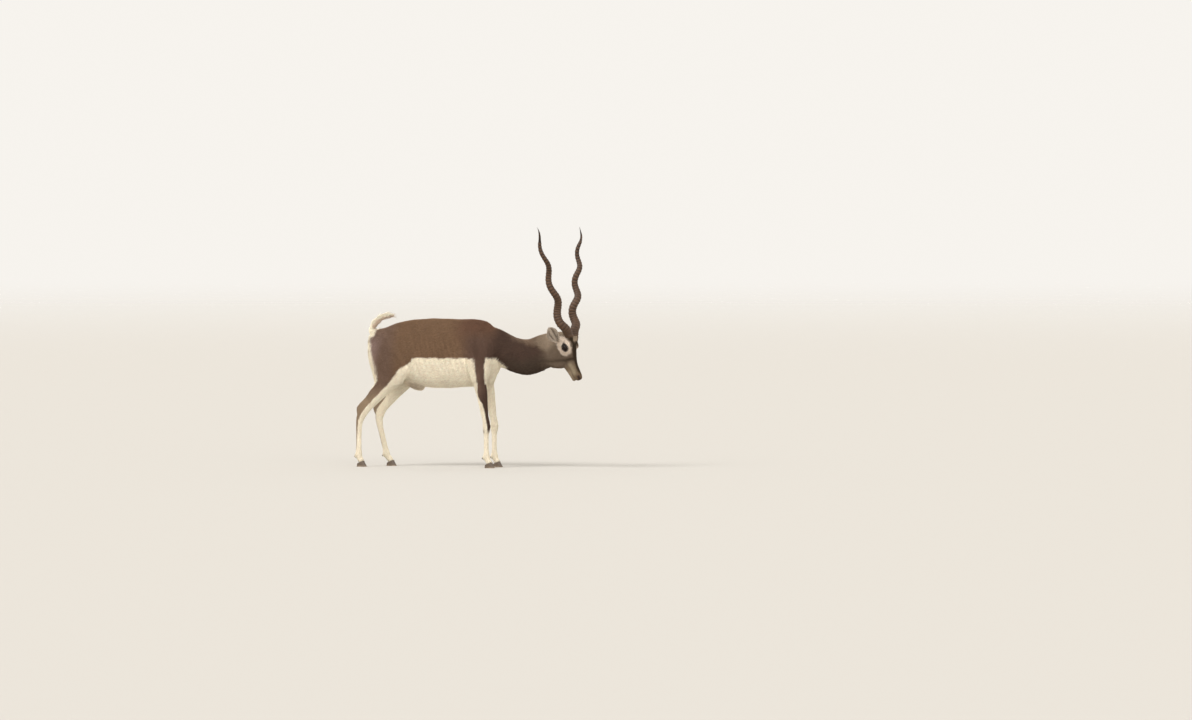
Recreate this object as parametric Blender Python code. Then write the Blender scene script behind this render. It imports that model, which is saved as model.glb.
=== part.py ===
"""Life-size still model of an adult male blackbuck, standing square on its forelegs with the
hind legs stretched back, the neck carried low, the face held upright and the tail curled
forward over the rump.

Metres, +Z up. The animal faces +X and its right side is towards -Y. The origin lies on the
floor under the middle of the model's box. Tables are in millimetres from the middle of the
trunk, which MID_BOX then carries to the model's origin.
"""

import math

import bmesh
import bpy
import numpy as np
from mathutils import Matrix, Vector

MM = 0.001
GAP = 0.3  # mm left between two nodes that touch
MID_BOX = Vector((217.2, -27.4, 0.0))  # mm, from the middle of the trunk to the middle of the box

# Stance
FORE_TRACK = 61.0  # half the distance between the forelegs
HIND_TRACK = 70.0
LEFT_FORE_STEP = 6.0  # how far the left forefoot stands ahead of the right one

# Head carriage
NOSE = Vector((806.0, -47.0, 457.0))
HEAD_PITCH = math.radians(60.0)  # down from level
HEAD_YAW = math.radians(-10.0)  # to the animal's right

# Horns
HORN_LENGTH = 608.0  # straight from base to tip
HORN_SPREAD = math.radians(20.6)  # each horn from the middle plane
HORN_LEAN = math.radians(6.1)  # back from upright
HORN_BASE = Vector((-205.0, 28.0, 68.0))  # on the left pedicle, head frame
HORN_RADIUS = 20.0
HORN_COIL = 13.0  # radius of the corkscrew
HORN_SPLAY = 14.0  # how far out from its base the middle of the coil lies
HORN_BEND = 90.0  # length over which the horn bends away from its base into the coil
# Right and left horn: the length of one turn, and how far along the coil comes round to the front
HORN_TURNS = {-1: (184.0, 224.0), 1: (160.0, 216.0)}
HORN_RINGS = 38

# Eyes
EYE = Vector((-170.0, 38.0, 27.0))
EYE_RADIUS = 17.5
LID = 2.8  # thickness of the lids over the eyeball

COAT = (0.125, 0.075, 0.050, 1.0)
WHITE = (0.72, 0.66, 0.57, 1.0)
CHEEK = (0.30, 0.24, 0.19, 1.0)
HORN = (0.070, 0.050, 0.038, 1.0)
HOOF = (0.030, 0.026, 0.024, 1.0)
EYE_BROWN = (0.012, 0.008, 0.006, 1.0)


# Curves and shells

def spline(rows, steps):
    """The rows, with more between them on a smooth curve, steps to each span."""
    rows = np.array(rows, float)
    ends = np.vstack([2 * rows[0] - rows[1], rows, 2 * rows[-1] - rows[-2]])
    found = []
    for i in range(len(rows) - 1):
        a, b, c, d = ends[i : i + 4]
        for t in np.arange(steps) / steps:
            found.append(
                b + (c - a) * t / 2 + (2 * a - 5 * b + 4 * c - d) * t**2 / 2
                + (3 * b - a - 3 * c + d) * t**3 / 2
            )
    return np.array(found + [rows[-1]])


def mesh_object(name, bm, hidden=True):
    mesh = bpy.data.meshes.new(name)
    bm.to_mesh(mesh)
    bm.free()
    obj = bpy.data.objects.new(name, mesh)
    bpy.context.scene.collection.objects.link(obj)
    obj.hide_render = hidden
    return obj


def shell(name, rings):
    """A closed mesh through rings that have the same number of points."""
    bm = bmesh.new()
    loops = [[bm.verts.new(p) for p in ring] for ring in rings]
    for low, high in zip(loops, loops[1:]):
        for i in range(len(low)):
            j = (i + 1) % len(low)
            bm.faces.new((low[i], low[j], high[j], high[i]))
    bm.faces.new(loops[0])
    bm.faces.new(loops[-1])
    bmesh.ops.recalc_face_normals(bm, faces=bm.faces)
    return mesh_object(name, bm)


def egg_rings(rows, steps=4, sides=28):
    """Upright sections across X. A row holds x, top, height of the widest place, bottom
    and half width."""
    rings = []
    for x, top, wide, bottom, half in spline(rows, steps):
        ring = []
        for k in range(sides):
            a = 2 * math.pi * k / sides
            reach = top - wide if math.sin(a) > 0 else wide - bottom
            ring.append(Vector((x, half * math.cos(a), wide + reach * math.sin(a))))
        rings.append(ring)
    return rings


def limb_rings(rows, steps=4, sides=16):
    """Oval sections square to a path. A row holds x, y, z, half depth in the XZ plane and
    half width across it. Both ends are domed."""
    path = spline(rows, steps)
    rings = []
    count = len(path)
    for i, (x, y, z, deep, wide) in enumerate(path):
        ahead = Vector(path[min(i + 1, count - 1)][:3]) - Vector(path[max(i - 1, 0)][:3])
        ahead.normalize()
        up = ahead.cross(Vector((0, 1, 0))).normalized()
        across = up.cross(ahead).normalized()
        centre = Vector((x, y, z))
        domes = ((0.0, 1.0),)
        if i == 0:
            domes = ((-0.9, 0.4), (-0.6, 0.78), (0.0, 1.0))
        if i == count - 1:
            domes = ((0.0, 1.0), (0.6, 0.78), (0.9, 0.4))
        for along, share in domes:
            middle = centre + ahead * along * min(deep, wide)
            rings.append([
                middle + up * deep * share * math.cos(a) + across * wide * share * math.sin(a)
                for a in (2 * math.pi * k / sides for k in range(sides))
            ])
    return rings


def limb(rows, **kind):
    return shell("limb", limb_rings(rows, **kind))


def ball(centre, radii, segments=24):
    bm = bmesh.new()
    bmesh.ops.create_uvsphere(bm, u_segments=segments, v_segments=segments // 2, radius=1)
    bm.transform(Matrix.Translation(centre) @ Matrix.Diagonal((*radii, 1)))
    return mesh_object("ball", bm)


def side_of(vector, side):
    return Vector((vector.x, side * vector.y, vector.z))


def mirrored(rows, side):
    """Limb rows with y on the side asked for: 1 is the animal's left."""
    return [(x, side * y, z, *sizes) for x, y, z, *sizes in rows]


# Joining and cutting

def settle(obj):
    """Applies the modifiers of an object."""
    graph = bpy.context.evaluated_depsgraph_get()
    mesh = bpy.data.meshes.new_from_object(obj.evaluated_get(graph))
    obj.modifiers.clear()
    obj.data = mesh
    return obj


def joined(name, pieces):
    bm = bmesh.new()
    for piece in pieces:
        piece.data.transform(piece.matrix_basis)
        bm.from_mesh(piece.data)
        bpy.data.objects.remove(piece)
    return mesh_object(name, bm)


def fused(name, pieces, cell, rounds, faces, firmness=None):
    """One smooth closed body from overlapping pieces. Cell is the grain of the body in mm,
    rounds is how often it is smoothed, and firmness gives each point's share of that."""
    body = joined(name, pieces)
    remesh = body.modifiers.new("Grain", "REMESH")
    remesh.mode = "VOXEL"
    remesh.voxel_size = cell
    settle(body)
    group = body.vertex_groups.new(name="soft")
    for v in body.data.vertices:
        group.add([v.index], firmness(v.co) if firmness else 1.0, "REPLACE")
    smooth = body.modifiers.new("Smooth", "SMOOTH")
    smooth.factor = 0.5
    smooth.iterations = rounds
    smooth.vertex_group = group.name
    settle(body)
    thin = body.modifiers.new("Fewer", "DECIMATE")
    thin.ratio = faces / (2 * len(body.data.polygons))
    settle(body)
    body.vertex_groups.clear()
    return body


def boolean(obj, other, operation):
    cut = obj.modifiers.new(operation, "BOOLEAN")
    cut.operation = operation
    cut.object = other
    return settle(obj)


def carve(obj, *cutters):
    for cutter in cutters:
        boolean(obj, cutter, "DIFFERENCE")
        bpy.data.objects.remove(cutter)
    return obj


def copy_of(obj, name):
    twin = obj.copy()
    twin.data = obj.data.copy()
    twin.name = name
    bpy.context.scene.collection.objects.link(twin)
    return twin


def prism(outline, low, high):
    """A solid between y low and y high, with an outline of x, z points."""
    return shell("prism", [[Vector((x, y, z)) for x, z in outline] for y in (low, high)])


def slab(point, normal, shift, size=900.0):
    """A big block on the side of a plane that its normal points to."""
    normal = Vector(normal).normalized()
    turn = normal.to_track_quat("Z", "Y").to_matrix().to_4x4()
    middle = Vector(point) + normal * (shift + size / 2)
    bm = bmesh.new()
    bmesh.ops.create_cube(bm, size=size)
    bm.transform(Matrix.Translation(middle) @ turn)
    return mesh_object("slab", bm)


def split(obj, point, normal, ahead):
    """Cuts obj at a plane and returns (what stays behind it, what lies ahead of it)."""
    front = copy_of(obj, ahead)
    carve(obj, slab(point, normal, -GAP / 2))
    carve(front, slab(point, [-c for c in normal], -GAP / 2))
    return obj, largest(front)


def largest(obj):
    """Keeps only the largest closed surface of an object."""
    bm = bmesh.new()
    bm.from_mesh(obj.data)
    left = set(bm.verts)
    shells = []
    while left:
        seed = [left.pop()]
        found = list(seed)
        while seed:
            for edge in seed.pop().link_edges:
                for v in edge.verts:
                    if v in left:
                        left.remove(v)
                        seed.append(v)
                        found.append(v)
        shells.append(found)
    shells.sort(key=len)
    bmesh.ops.delete(bm, geom=[v for s in shells[:-1] for v in s], context="VERTS")
    bm.to_mesh(obj.data)
    bm.free()
    return obj


def finish(obj, name, colour, roughness=0.8, smooth=math.radians(40)):
    """Names a node, places it in the model's frame and gives it its material."""
    obj.name = name
    obj.data.name = name
    obj.data.transform(Matrix.Scale(MM, 4) @ Matrix.Translation(-MID_BOX))
    obj.hide_render = False
    obj.data.shade_smooth()
    obj.data.set_sharp_from_angle(angle=smooth)
    material = bpy.data.materials.get(f"{name}_finish") or bpy.data.materials.new(f"{name}_finish")
    material.use_nodes = True
    surface = material.node_tree.nodes["Principled BSDF"]
    surface.inputs["Base Color"].default_value = colour
    surface.inputs["Roughness"].default_value = roughness
    obj.data.materials.clear()
    obj.data.materials.append(material)
    return obj


# Trunk: a deep, level barrel with an arched loin and a sloping rump

TRUNK = (
    (-322, 672, 628, 588, 26),
    (-308, 690, 628, 530, 54),
    (-280, 699, 622, 486, 78),
    (-235, 712, 605, 462, 91),
    (-195, 728, 595, 452, 93),
    (-155, 740, 585, 440, 95),
    (-90, 752, 575, 420, 100),
    (0, 759, 570, 405, 107),
    (75, 759, 570, 403, 107),
    (140, 757, 575, 406, 103),
    (205, 757, 575, 410, 94),
    (262, 755, 565, 413, 86),
    (310, 741, 560, 426, 78),
    (340, 714, 560, 452, 70),
    (364, 682, 568, 492, 57),
    (388, 642, 578, 532, 38),
)

NECK = (
    (300, 0, 628, 98, 74),
    (345, 0, 618, 92, 72),
    (392, -1, 601, 86, 64),
    (445, -4, 579, 86, 59),
    (509, -10, 565, 91, 57),
    (555, -14, 572, 90, 55),
    (604, -20, 590, 88, 53),
    (650, -29, 602, 88, 51),
    (688, -37, 601, 84, 45),
    (716, -41, 594, 64, 36),
)

SCAPULA = (
    (258, 30, 722, 38, 14),
    (276, 54, 680, 52, 20),
    (294, 71, 620, 56, 25),
    (308, 77, 562, 52, 27),
)

THROAT = (
    (596, -20, 566, 60, 44),
    (648, -31, 560, 47, 40),
    (692, -40, 551, 43, 33),
    (722, -46, 544, 36, 24),
)

UPPER_ARM = (
    (312, 78, 556, 45, 25),
    (296, 76, 495, 46, 27),
    (287, 70, 440, 38, 24),
)

TRICEPS = (
    (240, 62, 612, 26, 15),
    (244, 80, 535, 36, 24),
    (262, 73, 450, 27, 19),
)

FOREARM = (
    (285, 66, 452, 40, 25),
    (288, 65, 418, 35, 23),
    (296, 63, 370, 29.5, 20.5),
    (303, 62, 320, 24, 17.5),
    (311, 61, 265, 18.5, 15),
    (317, 61, 238, 18.5, 15.5),
    (319.5, 61, 215, 20.5, 16.5),
    (319, 61, 195, 18, 15),
    (318, 61, 168, 13, 11.5),
    (318, 61, 120, 12, 10.8),
    (318.5, 61, 82, 13, 11.8),
    (319.5, 61, 62, 16.5, 14.5),
    (322.5, 61, 48, 15, 14.2),
    (329, 61, 35, 14, 14.5),
    (334, 61, 25, 14.5, 15),
)

HAMSTRING = (
    (-284, 46, 650, 36, 26),
    (-270, 62, 570, 44, 33),
    (-248, 74, 495, 42, 33),
    (-238, 75, 435, 38, 28),
    (-252, 73, 390, 30, 24),
    (-280, 71, 356, 22, 18),
)

THIGH = (
    (-240, 52, 655, 62, 36),
    (-214, 70, 585, 84, 40),
    (-180, 78, 520, 84, 42),
    (-150, 80, 475, 66, 38),
)

GASKIN = (
    (-160, 80, 478, 62, 36),
    (-198, 78, 446, 56, 33),
    (-241, 74, 390, 41, 27),
    (-287, 71, 334, 28, 20),
    (-323, 70, 296, 25, 17.5),
    (-344, 70, 266, 24, 16.5),
    (-355, 70, 236, 19, 14.5),
    (-359, 70, 195, 15, 12),
    (-359.5, 70, 130, 14, 11.4),
    (-360, 70, 86, 15, 12.4),
    (-360.5, 70, 66, 18, 15),
    (-358, 70, 51, 16, 14.6),
    (-351, 70, 37, 15, 14.6),
    (-345, 70, 26, 15, 15),
)

HEEL = (
    (-268, 73, 408, 20, 12),
    (-316, 70, 354, 9, 8),
    (-346, 70, 320, 10, 9),
    (-358, 70, 300, 12, 11),
    (-359, 70, 276, 12, 11),
)

# The left hind leg is less stretched: how far each height of it lies ahead of the right one
LEFT_HIND_AHEAD = ((0, 120), (60, 105), (300, 44), (420, 34), (480, 30), (560, 14), (640, 0))


def stepped(rows, table):
    """Limb rows moved forward by a table of height and distance."""
    heights, moves = zip(*table)
    return [(x + np.interp(z, heights, moves), y, z, *sizes) for x, y, z, *sizes in rows]


def dewclaws(x, y, z):
    """Two small hoof points behind a fetlock."""
    return [
        limb(((x + 6, y + s * 6, z + 6, 6, 5), (x - 4, y + s * 8, z - 2, 6, 5),
              (x - 9, y + s * 8.5, z - 12, 4.2, 4)), steps=2, sides=10)
        for s in (-1, 1)
    ]


def fore_limb(side, step):
    lower = [(0, step), (300, step * 0.8), (430, 0)]
    pieces = [limb(mirrored(rows, side)) for rows in (SCAPULA, UPPER_ARM, TRICEPS)]
    pieces.append(limb(mirrored(stepped(FOREARM, lower), side)))
    pieces.append(limb(mirrored(((334 + step, 61, 214, 4, 12), (318 + step, 61, 214, 16, 14)), side)))
    return pieces + dewclaws(306 + step, side * FORE_TRACK, 56)


def hind_limb(side, ahead):
    pieces = [
        limb(mirrored(stepped(rows, ahead), side)) for rows in (HAMSTRING, THIGH, GASKIN, HEEL)
    ]
    fetlock = -374 + np.interp(60, *zip(*ahead))
    return pieces + dewclaws(fetlock, side * HIND_TRACK, 60)


RIGHT_HIND_AHEAD = ((0, 0), (640, 0))

SHEATH = (
    (-118, 0, 428, 15, 14),
    (-78, 0, 408, 15, 13),
    (-50, 0, 399, 12, 11),
    (-32, 0, 396, 8, 8),
)


# Head, in its own frame: the tip of the nose at the origin, +X out of the nose, +Z out of
# the forehead

SKULL = (
    (5, 7, -3, -10, 10),
    (-2, 16, 0, -15, 18),
    (-16, 21, -1, -18, 23),
    (-42, 24, -1, -19, 24),
    (-72, 28, 1, -22, 26),
    (-100, 37, 4, -28, 30),
    (-126, 49, 8, -36, 36),
    (-150, 61, 10, -44, 41),
    (-175, 70, 10, -50, 43),
    (-200, 70, 5, -54, 44),
    (-224, 59, 5, -48, 42),
    (-246, 42, 0, -35, 35),
    (-258, 27, 0, -20, 24),
)

JAW = (
    (-5, -15, -21, -28, 10),
    (-16, -12, -22, -35, 15),
    (-42, -11, -23, -36, 18.5),
    (-80, -10, -26, -41, 22.5),
    (-120, -12, -33, -51, 28),
    (-160, -15, -43, -63, 32),
    (-190, -15, -46, -69, 32),
    (-212, -12, -40, -58, 28),
)

HEAD = (
    Matrix.Translation(NOSE)
    @ Matrix.Rotation(HEAD_YAW, 4, "Z")
    @ Matrix.Rotation(HEAD_PITCH, 4, "Y")
)


def head_pieces():
    """The masses of the head in its own frame, both sides alike."""
    pieces = [shell("skull", egg_rings(SKULL)), shell("jaw", egg_rings(JAW, sides=20))]
    pieces.append(ball((-4, 0, 4), (11, 14, 13)))
    pieces.append(ball((-16, 0, -26), (13, 13, 10)))
    for s in (-1, 1):
        pieces.append(ball((-178, s * 30, -24), (50, 15, 34)))
        pieces.append(ball((-168, s * 34, 25), (29, 17, 25)))
        pieces.append(ball((-176, s * 37, 50), (30, 16, 17)))
        pieces.append(ball((-28, s * 12.5, -9), (26, 12, 10)))
        pieces.append(ball(side_of(EYE, s), [EYE_RADIUS + LID] * 3))
        pieces.append(limb(((-196, s * 40, 4, 8, 7), (-150, s * 39, -4, 8, 6),
                            (-105, s * 27, -6, 7, 6))))
        base = side_of(HORN_BASE, s)
        root = base + Vector((26, s * -9, -14))
        past = base + Vector((-7, s * 2, 3))
        pieces.append(limb([(*root, 20, 20), (*base, 22, 22), (*past, 22, 22)]))
        ear_root = side_of(EAR_ROOT, s)
        inside = ear_root + Vector((12, s * -22, -3))
        pieces.append(limb([(*inside, 21, 20), (*ear_root, 17, 17)]))
    return pieces


def placed(pieces, matrix):
    for piece in pieces:
        piece.data.transform(matrix)
    return pieces


# Horns: ringed corkscrews, the left one turning as a right-hand screw and the right one as
# its mirror

def horn_frame(side):
    """Base point, axis, forward and outward directions of a horn, and its coil."""
    base = HEAD @ side_of(HORN_BASE, side)
    turn = Matrix.Rotation(HEAD_YAW, 3, "Z")
    axis = Vector((
        -math.sin(HORN_LEAN) * math.cos(HORN_SPREAD),
        side * math.sin(HORN_SPREAD),
        math.cos(HORN_LEAN) * math.cos(HORN_SPREAD),
    ))
    axis = turn @ axis
    forward = turn @ Vector((1, 0, 0))
    forward = (forward - axis * forward.dot(axis)).normalized()
    outward = axis.cross(forward) * side
    return base, axis, forward, outward, HORN_TURNS[side]


def horn_point(frame, along):
    """The middle of the horn. The coil goes round a line behind the base and outside it."""
    base, axis, forward, outward, (wave, crest) = frame
    coil = HORN_COIL * (1.0 - 0.4 * along / HORN_LENGTH)
    a = 2 * math.pi * (along - crest) / wave
    swing = forward * (coil * math.cos(a) - HORN_COIL) + outward * (coil * math.sin(a) + HORN_SPLAY)
    rise = min(max(along, 0.0) / HORN_BEND, 1.0)
    return base + axis * along + swing * rise * rise * (3 - 2 * rise)


def horn_radius(share):
    """Radius without the rings: stout at the base, and a long fine point."""
    return np.interp(share, (0, 0.06, 0.3, 0.6, 0.85, 1), (1.0, 0.97, 0.80, 0.60, 0.36, 0.10)) * HORN_RADIUS


def horn(side, sides=10):
    """Each ring is a ridge between two grooves. The last sixth of the horn is smooth."""
    frame = horn_frame(side)
    ringed = 0.86
    stations = []
    for k in range(2 * HORN_RINGS + 1):
        share = ringed * (k / (2 * HORN_RINGS)) ** 1.12
        ridge = (1.6 if k % 2 else -0.7) * (1 - 0.5 * share)
        stations.append((share, ridge if k else 0.0))
    stations += [(0.90, 0.0), (0.94, 0.0), (0.975, 0.0), (1.0, 0.0)]
    rings = []
    for share, ridge in stations:
        along = share * HORN_LENGTH
        centre = horn_point(frame, along)
        ahead = (horn_point(frame, along + 2) - horn_point(frame, max(along - 2, 0))).normalized()
        if share == 0:
            ahead = frame[1]
        u = frame[2] - ahead * frame[2].dot(ahead)
        u.normalize()
        w = ahead.cross(u)
        r = horn_radius(share) + ridge
        rings.append([
            centre + (u * math.cos(a) + w * math.sin(a)) * r
            for a in (2 * math.pi * i / sides for i in range(sides))
        ])
    return shell("horn", rings)


def seat(point, axis, radius, depth):
    """Cylinder that stands on a point along an axis."""
    turn = axis.to_track_quat("Z", "Y").to_matrix().to_4x4()
    bm = bmesh.new()
    bmesh.ops.create_cone(bm, cap_ends=True, segments=20, radius1=radius, radius2=radius, depth=depth)
    bm.transform(Matrix.Translation(point + axis * depth / 2) @ turn)
    return mesh_object("seat", bm)


def horn_seat(side):
    """Cutter that leaves a flat face on the pedicle, just below the horn."""
    base, axis = horn_frame(side)[:2]
    return seat(base - axis * GAP, axis, 22.4, 30)


# Ears: thin leaf-shaped cups, laid back and open to the side

EAR_ROOT = Vector((-208.0, 62.0, 16.0))
EAR_LENGTH = 118.0
EAR_AXIS = Vector((-0.04, 0.80, 0.60)).normalized()
EAR_FACE = Vector((0.66, 0.75, 0.0))
EAR_WALL = 2.6


def ear_frame(side):
    root = HEAD @ side_of(EAR_ROOT, side)
    turn = Matrix.Rotation(HEAD_YAW, 3, "Z")
    axis = turn @ side_of(EAR_AXIS, side)
    face = turn @ side_of(EAR_FACE, side)
    face = (face - axis * face.dot(axis)).normalized()
    return root, axis, face, axis.cross(face)


def ear(side, points=7):
    """Crescent sections along the ear, from a full tube at the root to a pointed tip."""
    root, axis, face, across = ear_frame(side)
    rows = (
        # share of length, half width, depth of the cup, opening, wall
        (0.00, 14.6, 14.2, 0.16, 4.2),
        (0.10, 15.6, 15.0, 0.20, 3.6),
        (0.20, 20.0, 16.5, 0.30, 2.2),
        (0.32, 25.5, 16.5, 0.42, 1.1),
        (0.50, 29.5, 14.5, 0.50, 1.0),
        (0.68, 27.0, 11.5, 0.52, 0.95),
        (0.84, 19.0, 7.5, 0.54, 0.9),
        (0.95, 9.5, 4.0, 0.56, 0.7),
        (1.00, 3.0, 1.8, 0.58, 0.6),
    )
    rings = []
    for share, half, deep, opening, wall in spline(rows, 2)[: 2 * len(rows)]:
        centre = root + axis * (share * EAR_LENGTH + GAP) - face * (6 * share * (1 - share))
        thick = EAR_WALL * max(wall, 0.45)
        reach = math.pi * (1 - opening)
        outer, inner = [], []
        for k in range(points):
            a = math.pi + reach * (2 * k / (points - 1) - 1)
            out = Vector((math.cos(a) * deep, math.sin(a) * half))
            back = max(0.0, 1 - thick / max(out.length, 0.1))
            outer.append(centre + face * out.x + across * out.y)
            inner.append(centre + (face * out.x + across * out.y) * back)
        rings.append(outer + inner[::-1])
    return shell("ear", rings)


def ear_seat(side):
    """Cutter that leaves a flat face under the ear."""
    root, axis, _, _ = ear_frame(side)
    return seat(root, axis, 15.6, 30)


# Eyes, lids, nostrils and mouth

def eye(side):
    return ball(HEAD @ side_of(EYE, side), [EYE_RADIUS] * 3, segments=16)


EYE_LOOK = Vector((0.36, 0.91, 0.16)).normalized()


def lid_opening(side):
    """Almond prism that opens the lids over the eyeball."""
    centre = side_of(EYE, side)
    look = side_of(EYE_LOOK, side)
    along = Vector((0.93, side * -0.36, -0.30))
    along = (along - look * along.dot(look)).normalized()
    over = look.cross(along)
    outline = []
    for k in range(14):
        a = 2 * math.pi * k / 14
        outline.append(along * 15.5 * math.cos(a)
                       + over * 11.0 * math.sin(a) * (0.75 + 0.25 * abs(math.sin(a))))
    rings = [[HEAD @ (centre + look * far + p * (1 + grow)) for p in outline]
             for far, grow in ((6.0, 0.0), (EYE_RADIUS + 14, 0.25))]
    return shell("almond", rings)


def eye_socket(side):
    return ball(HEAD @ side_of(EYE, side), [EYE_RADIUS + GAP] * 3, segments=16)


def tear_slit(side):
    """The gland that opens in front of the eye."""
    rows = ((-124, side * 37, 10, 3.0, 5.0), (-130, side * 41, 3, 4.0, 6.0),
            (-135, side * 41, -5, 3.0, 5.0))
    return placed([limb(rows, steps=2, sides=8)], HEAD)[0]


def nostril(side):
    rows = ((9, side * 8, 4, 3.0, 2.6), (1, side * 13.5, 7, 4.2, 4.0),
            (-7, side * 18.5, 11, 2.6, 3.0))
    return placed([limb(rows, steps=2, sides=8)], HEAD)[0]


LIP_LINE = (
    # x, half width of the muzzle there, height
    (9, 4, -14.5),
    (4, 11, -14.6),
    (-4, 18, -14.8),
    (-20, 23, -14.2),
    (-42, 25, -12.4),
    (-62, 26.5, -9.0),
)


def mouth_line():
    """A thin slot round the muzzle between the lips, 1.6 mm high and 4 mm deep."""
    rows = spline(LIP_LINE, 3)
    path = [(x, y, z) for x, y, z in rows[::-1]] + [(x, -y, z) for x, y, z in rows]
    rings = []
    for x, y, z in path:
        depth = 4.5 if abs(y) > 8 else 3.0
        inner = Vector((x - (3 if abs(y) < 15 else 0), y * max(0.1, 1 - depth / abs(y)), z))
        outer = Vector((x + 8, y * 1.5, z))
        rings.append([HEAD @ (p + Vector((0, 0, h)))
                      for p, h in ((inner, -0.8), (outer, -0.8), (outer, 0.8), (inner, 0.8))])
    return shell("mouth", rings)


# Tail: curled up and forward over the rump, fringed with flat locks

TAIL = (
    (-288, 0, 655, 16, 18),
    (-313, 0, 694, 14, 17),
    (-304, 0, 727, 11, 16),
    (-277, 0, 757, 9, 15),
    (-243, 0, 775, 8, 13),
    (-210, 0, 781, 6, 10),
    (-190, 0, 779, 4, 6),
)
TAIL_LOCKS = 11
TAIL_PLANE = (Vector((-312, 0, 690)), Vector((-0.12, 0, 0.99)))


def tail_lock(path, share, side, rng):
    """A flat tapered lock rooted in the tail, lying towards its tip and out to one side."""
    at = share * (len(path) - 1)
    i = int(at)
    j = min(i + 1, len(path) - 1)
    here = Vector(path[i][:3]).lerp(Vector(path[j][:3]), at - i)
    ahead = (Vector(path[j][:3]) - Vector(path[max(i - 1, 0)][:3])).normalized()
    up = ahead.cross(Vector((0, 1, 0))).normalized()
    length = 46 + 14 * share + rng.uniform(-4, 4)
    root = here + Vector((0, side * (4.5 - 3 * share), 0)) + up * rng.uniform(-2, 2)
    out = Vector((0, side, 0))
    rings = []
    for t, half in ((0.0, 6.5), (0.35, 8.5), (0.7, 6.0), (1.0, 1.2)):
        bend = ahead * length * t + out * (15 * t - 7 * t * t) * (1.1 - share) + up * (-5 * t * t)
        centre = root + bend
        thick = 2.8 * (1 - 0.6 * t)
        rings.append([centre + out * half * c + up * thick * s
                      for c, s in ((1, 0), (0.4, 0.9), (-0.4, 0.9), (-1, 0), (-0.4, -0.9), (0.4, -0.9))])
    return shell("lock", rings)


def tail():
    rng = np.random.default_rng(7)
    path = spline(TAIL, 3)
    core = limb(TAIL, steps=3, sides=12)
    locks = bpy.data.collections.new("locks")
    bpy.context.scene.collection.children.link(locks)
    for k in range(TAIL_LOCKS):
        share = 0.30 + 0.66 * k / (TAIL_LOCKS - 1)
        lock = tail_lock(path, share, 1 if k % 2 else -1, rng)
        bpy.context.scene.collection.objects.unlink(lock)
        locks.objects.link(lock)
    join = core.modifiers.new("Locks", "BOOLEAN")
    join.operation = "UNION"
    join.operand_type = "COLLECTION"
    join.collection = locks
    settle(core)
    for lock in list(locks.objects):
        bpy.data.objects.remove(lock)
    bpy.data.collections.remove(locks)
    carve(core, slab(TAIL_PLANE[0], -TAIL_PLANE[1], -GAP / 2, size=200))
    return largest(core)


def tail_seat():
    point, normal = TAIL_PLANE
    turn = normal.to_track_quat("Z", "Y").to_matrix().to_4x4()
    bm = bmesh.new()
    bmesh.ops.create_cube(bm, size=1)
    bm.transform(Matrix.Translation(point + normal * (40 - GAP / 2)) @ turn
                 @ Matrix.Diagonal((60, 60, 80, 1)))
    return mesh_object("seat", bm)


# Hooves: two pointed claws to a foot, flat on the floor

HOOF_TOP = 25.0  # height of the coronet at the middle of the foot
HOOF_TILT = math.radians(24)  # the coronet rises to the toe
CLAW_APART = 8.6
CORONET = Vector((-math.sin(HOOF_TILT), 0, math.cos(HOOF_TILT)))


def claw(x, y, side):
    """One claw, from its flat sole to the coronet. Side 1 lies to the left of the other."""
    rows = (
        # height, heel, toe, half width
        (0.0, -22, 31, 7.4),
        (3.0, -22, 30, 7.5),
        (12.0, -20.5, 24, 7.6),
        (24.0, -18, 17, 7.4),
        (44.0, -15, 9, 7.0),
    )
    middle = y + side * CLAW_APART
    rings = []
    for z, heel, toe, half in rows:
        ring = []
        for k in range(10):
            a = 2 * math.pi * k / 10
            c, s = math.cos(a), math.sin(a)
            reach = toe if c > 0 else -heel
            taper = 1 - 0.45 * max(c, 0) ** 2
            ring.append(Vector((x + reach * c, middle + half * s * taper, z)))
        rings.append(ring)
    foot = shell("claw", rings)
    return carve(foot, slab((x, y, HOOF_TOP), CORONET, -GAP / 2, size=200))


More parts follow.
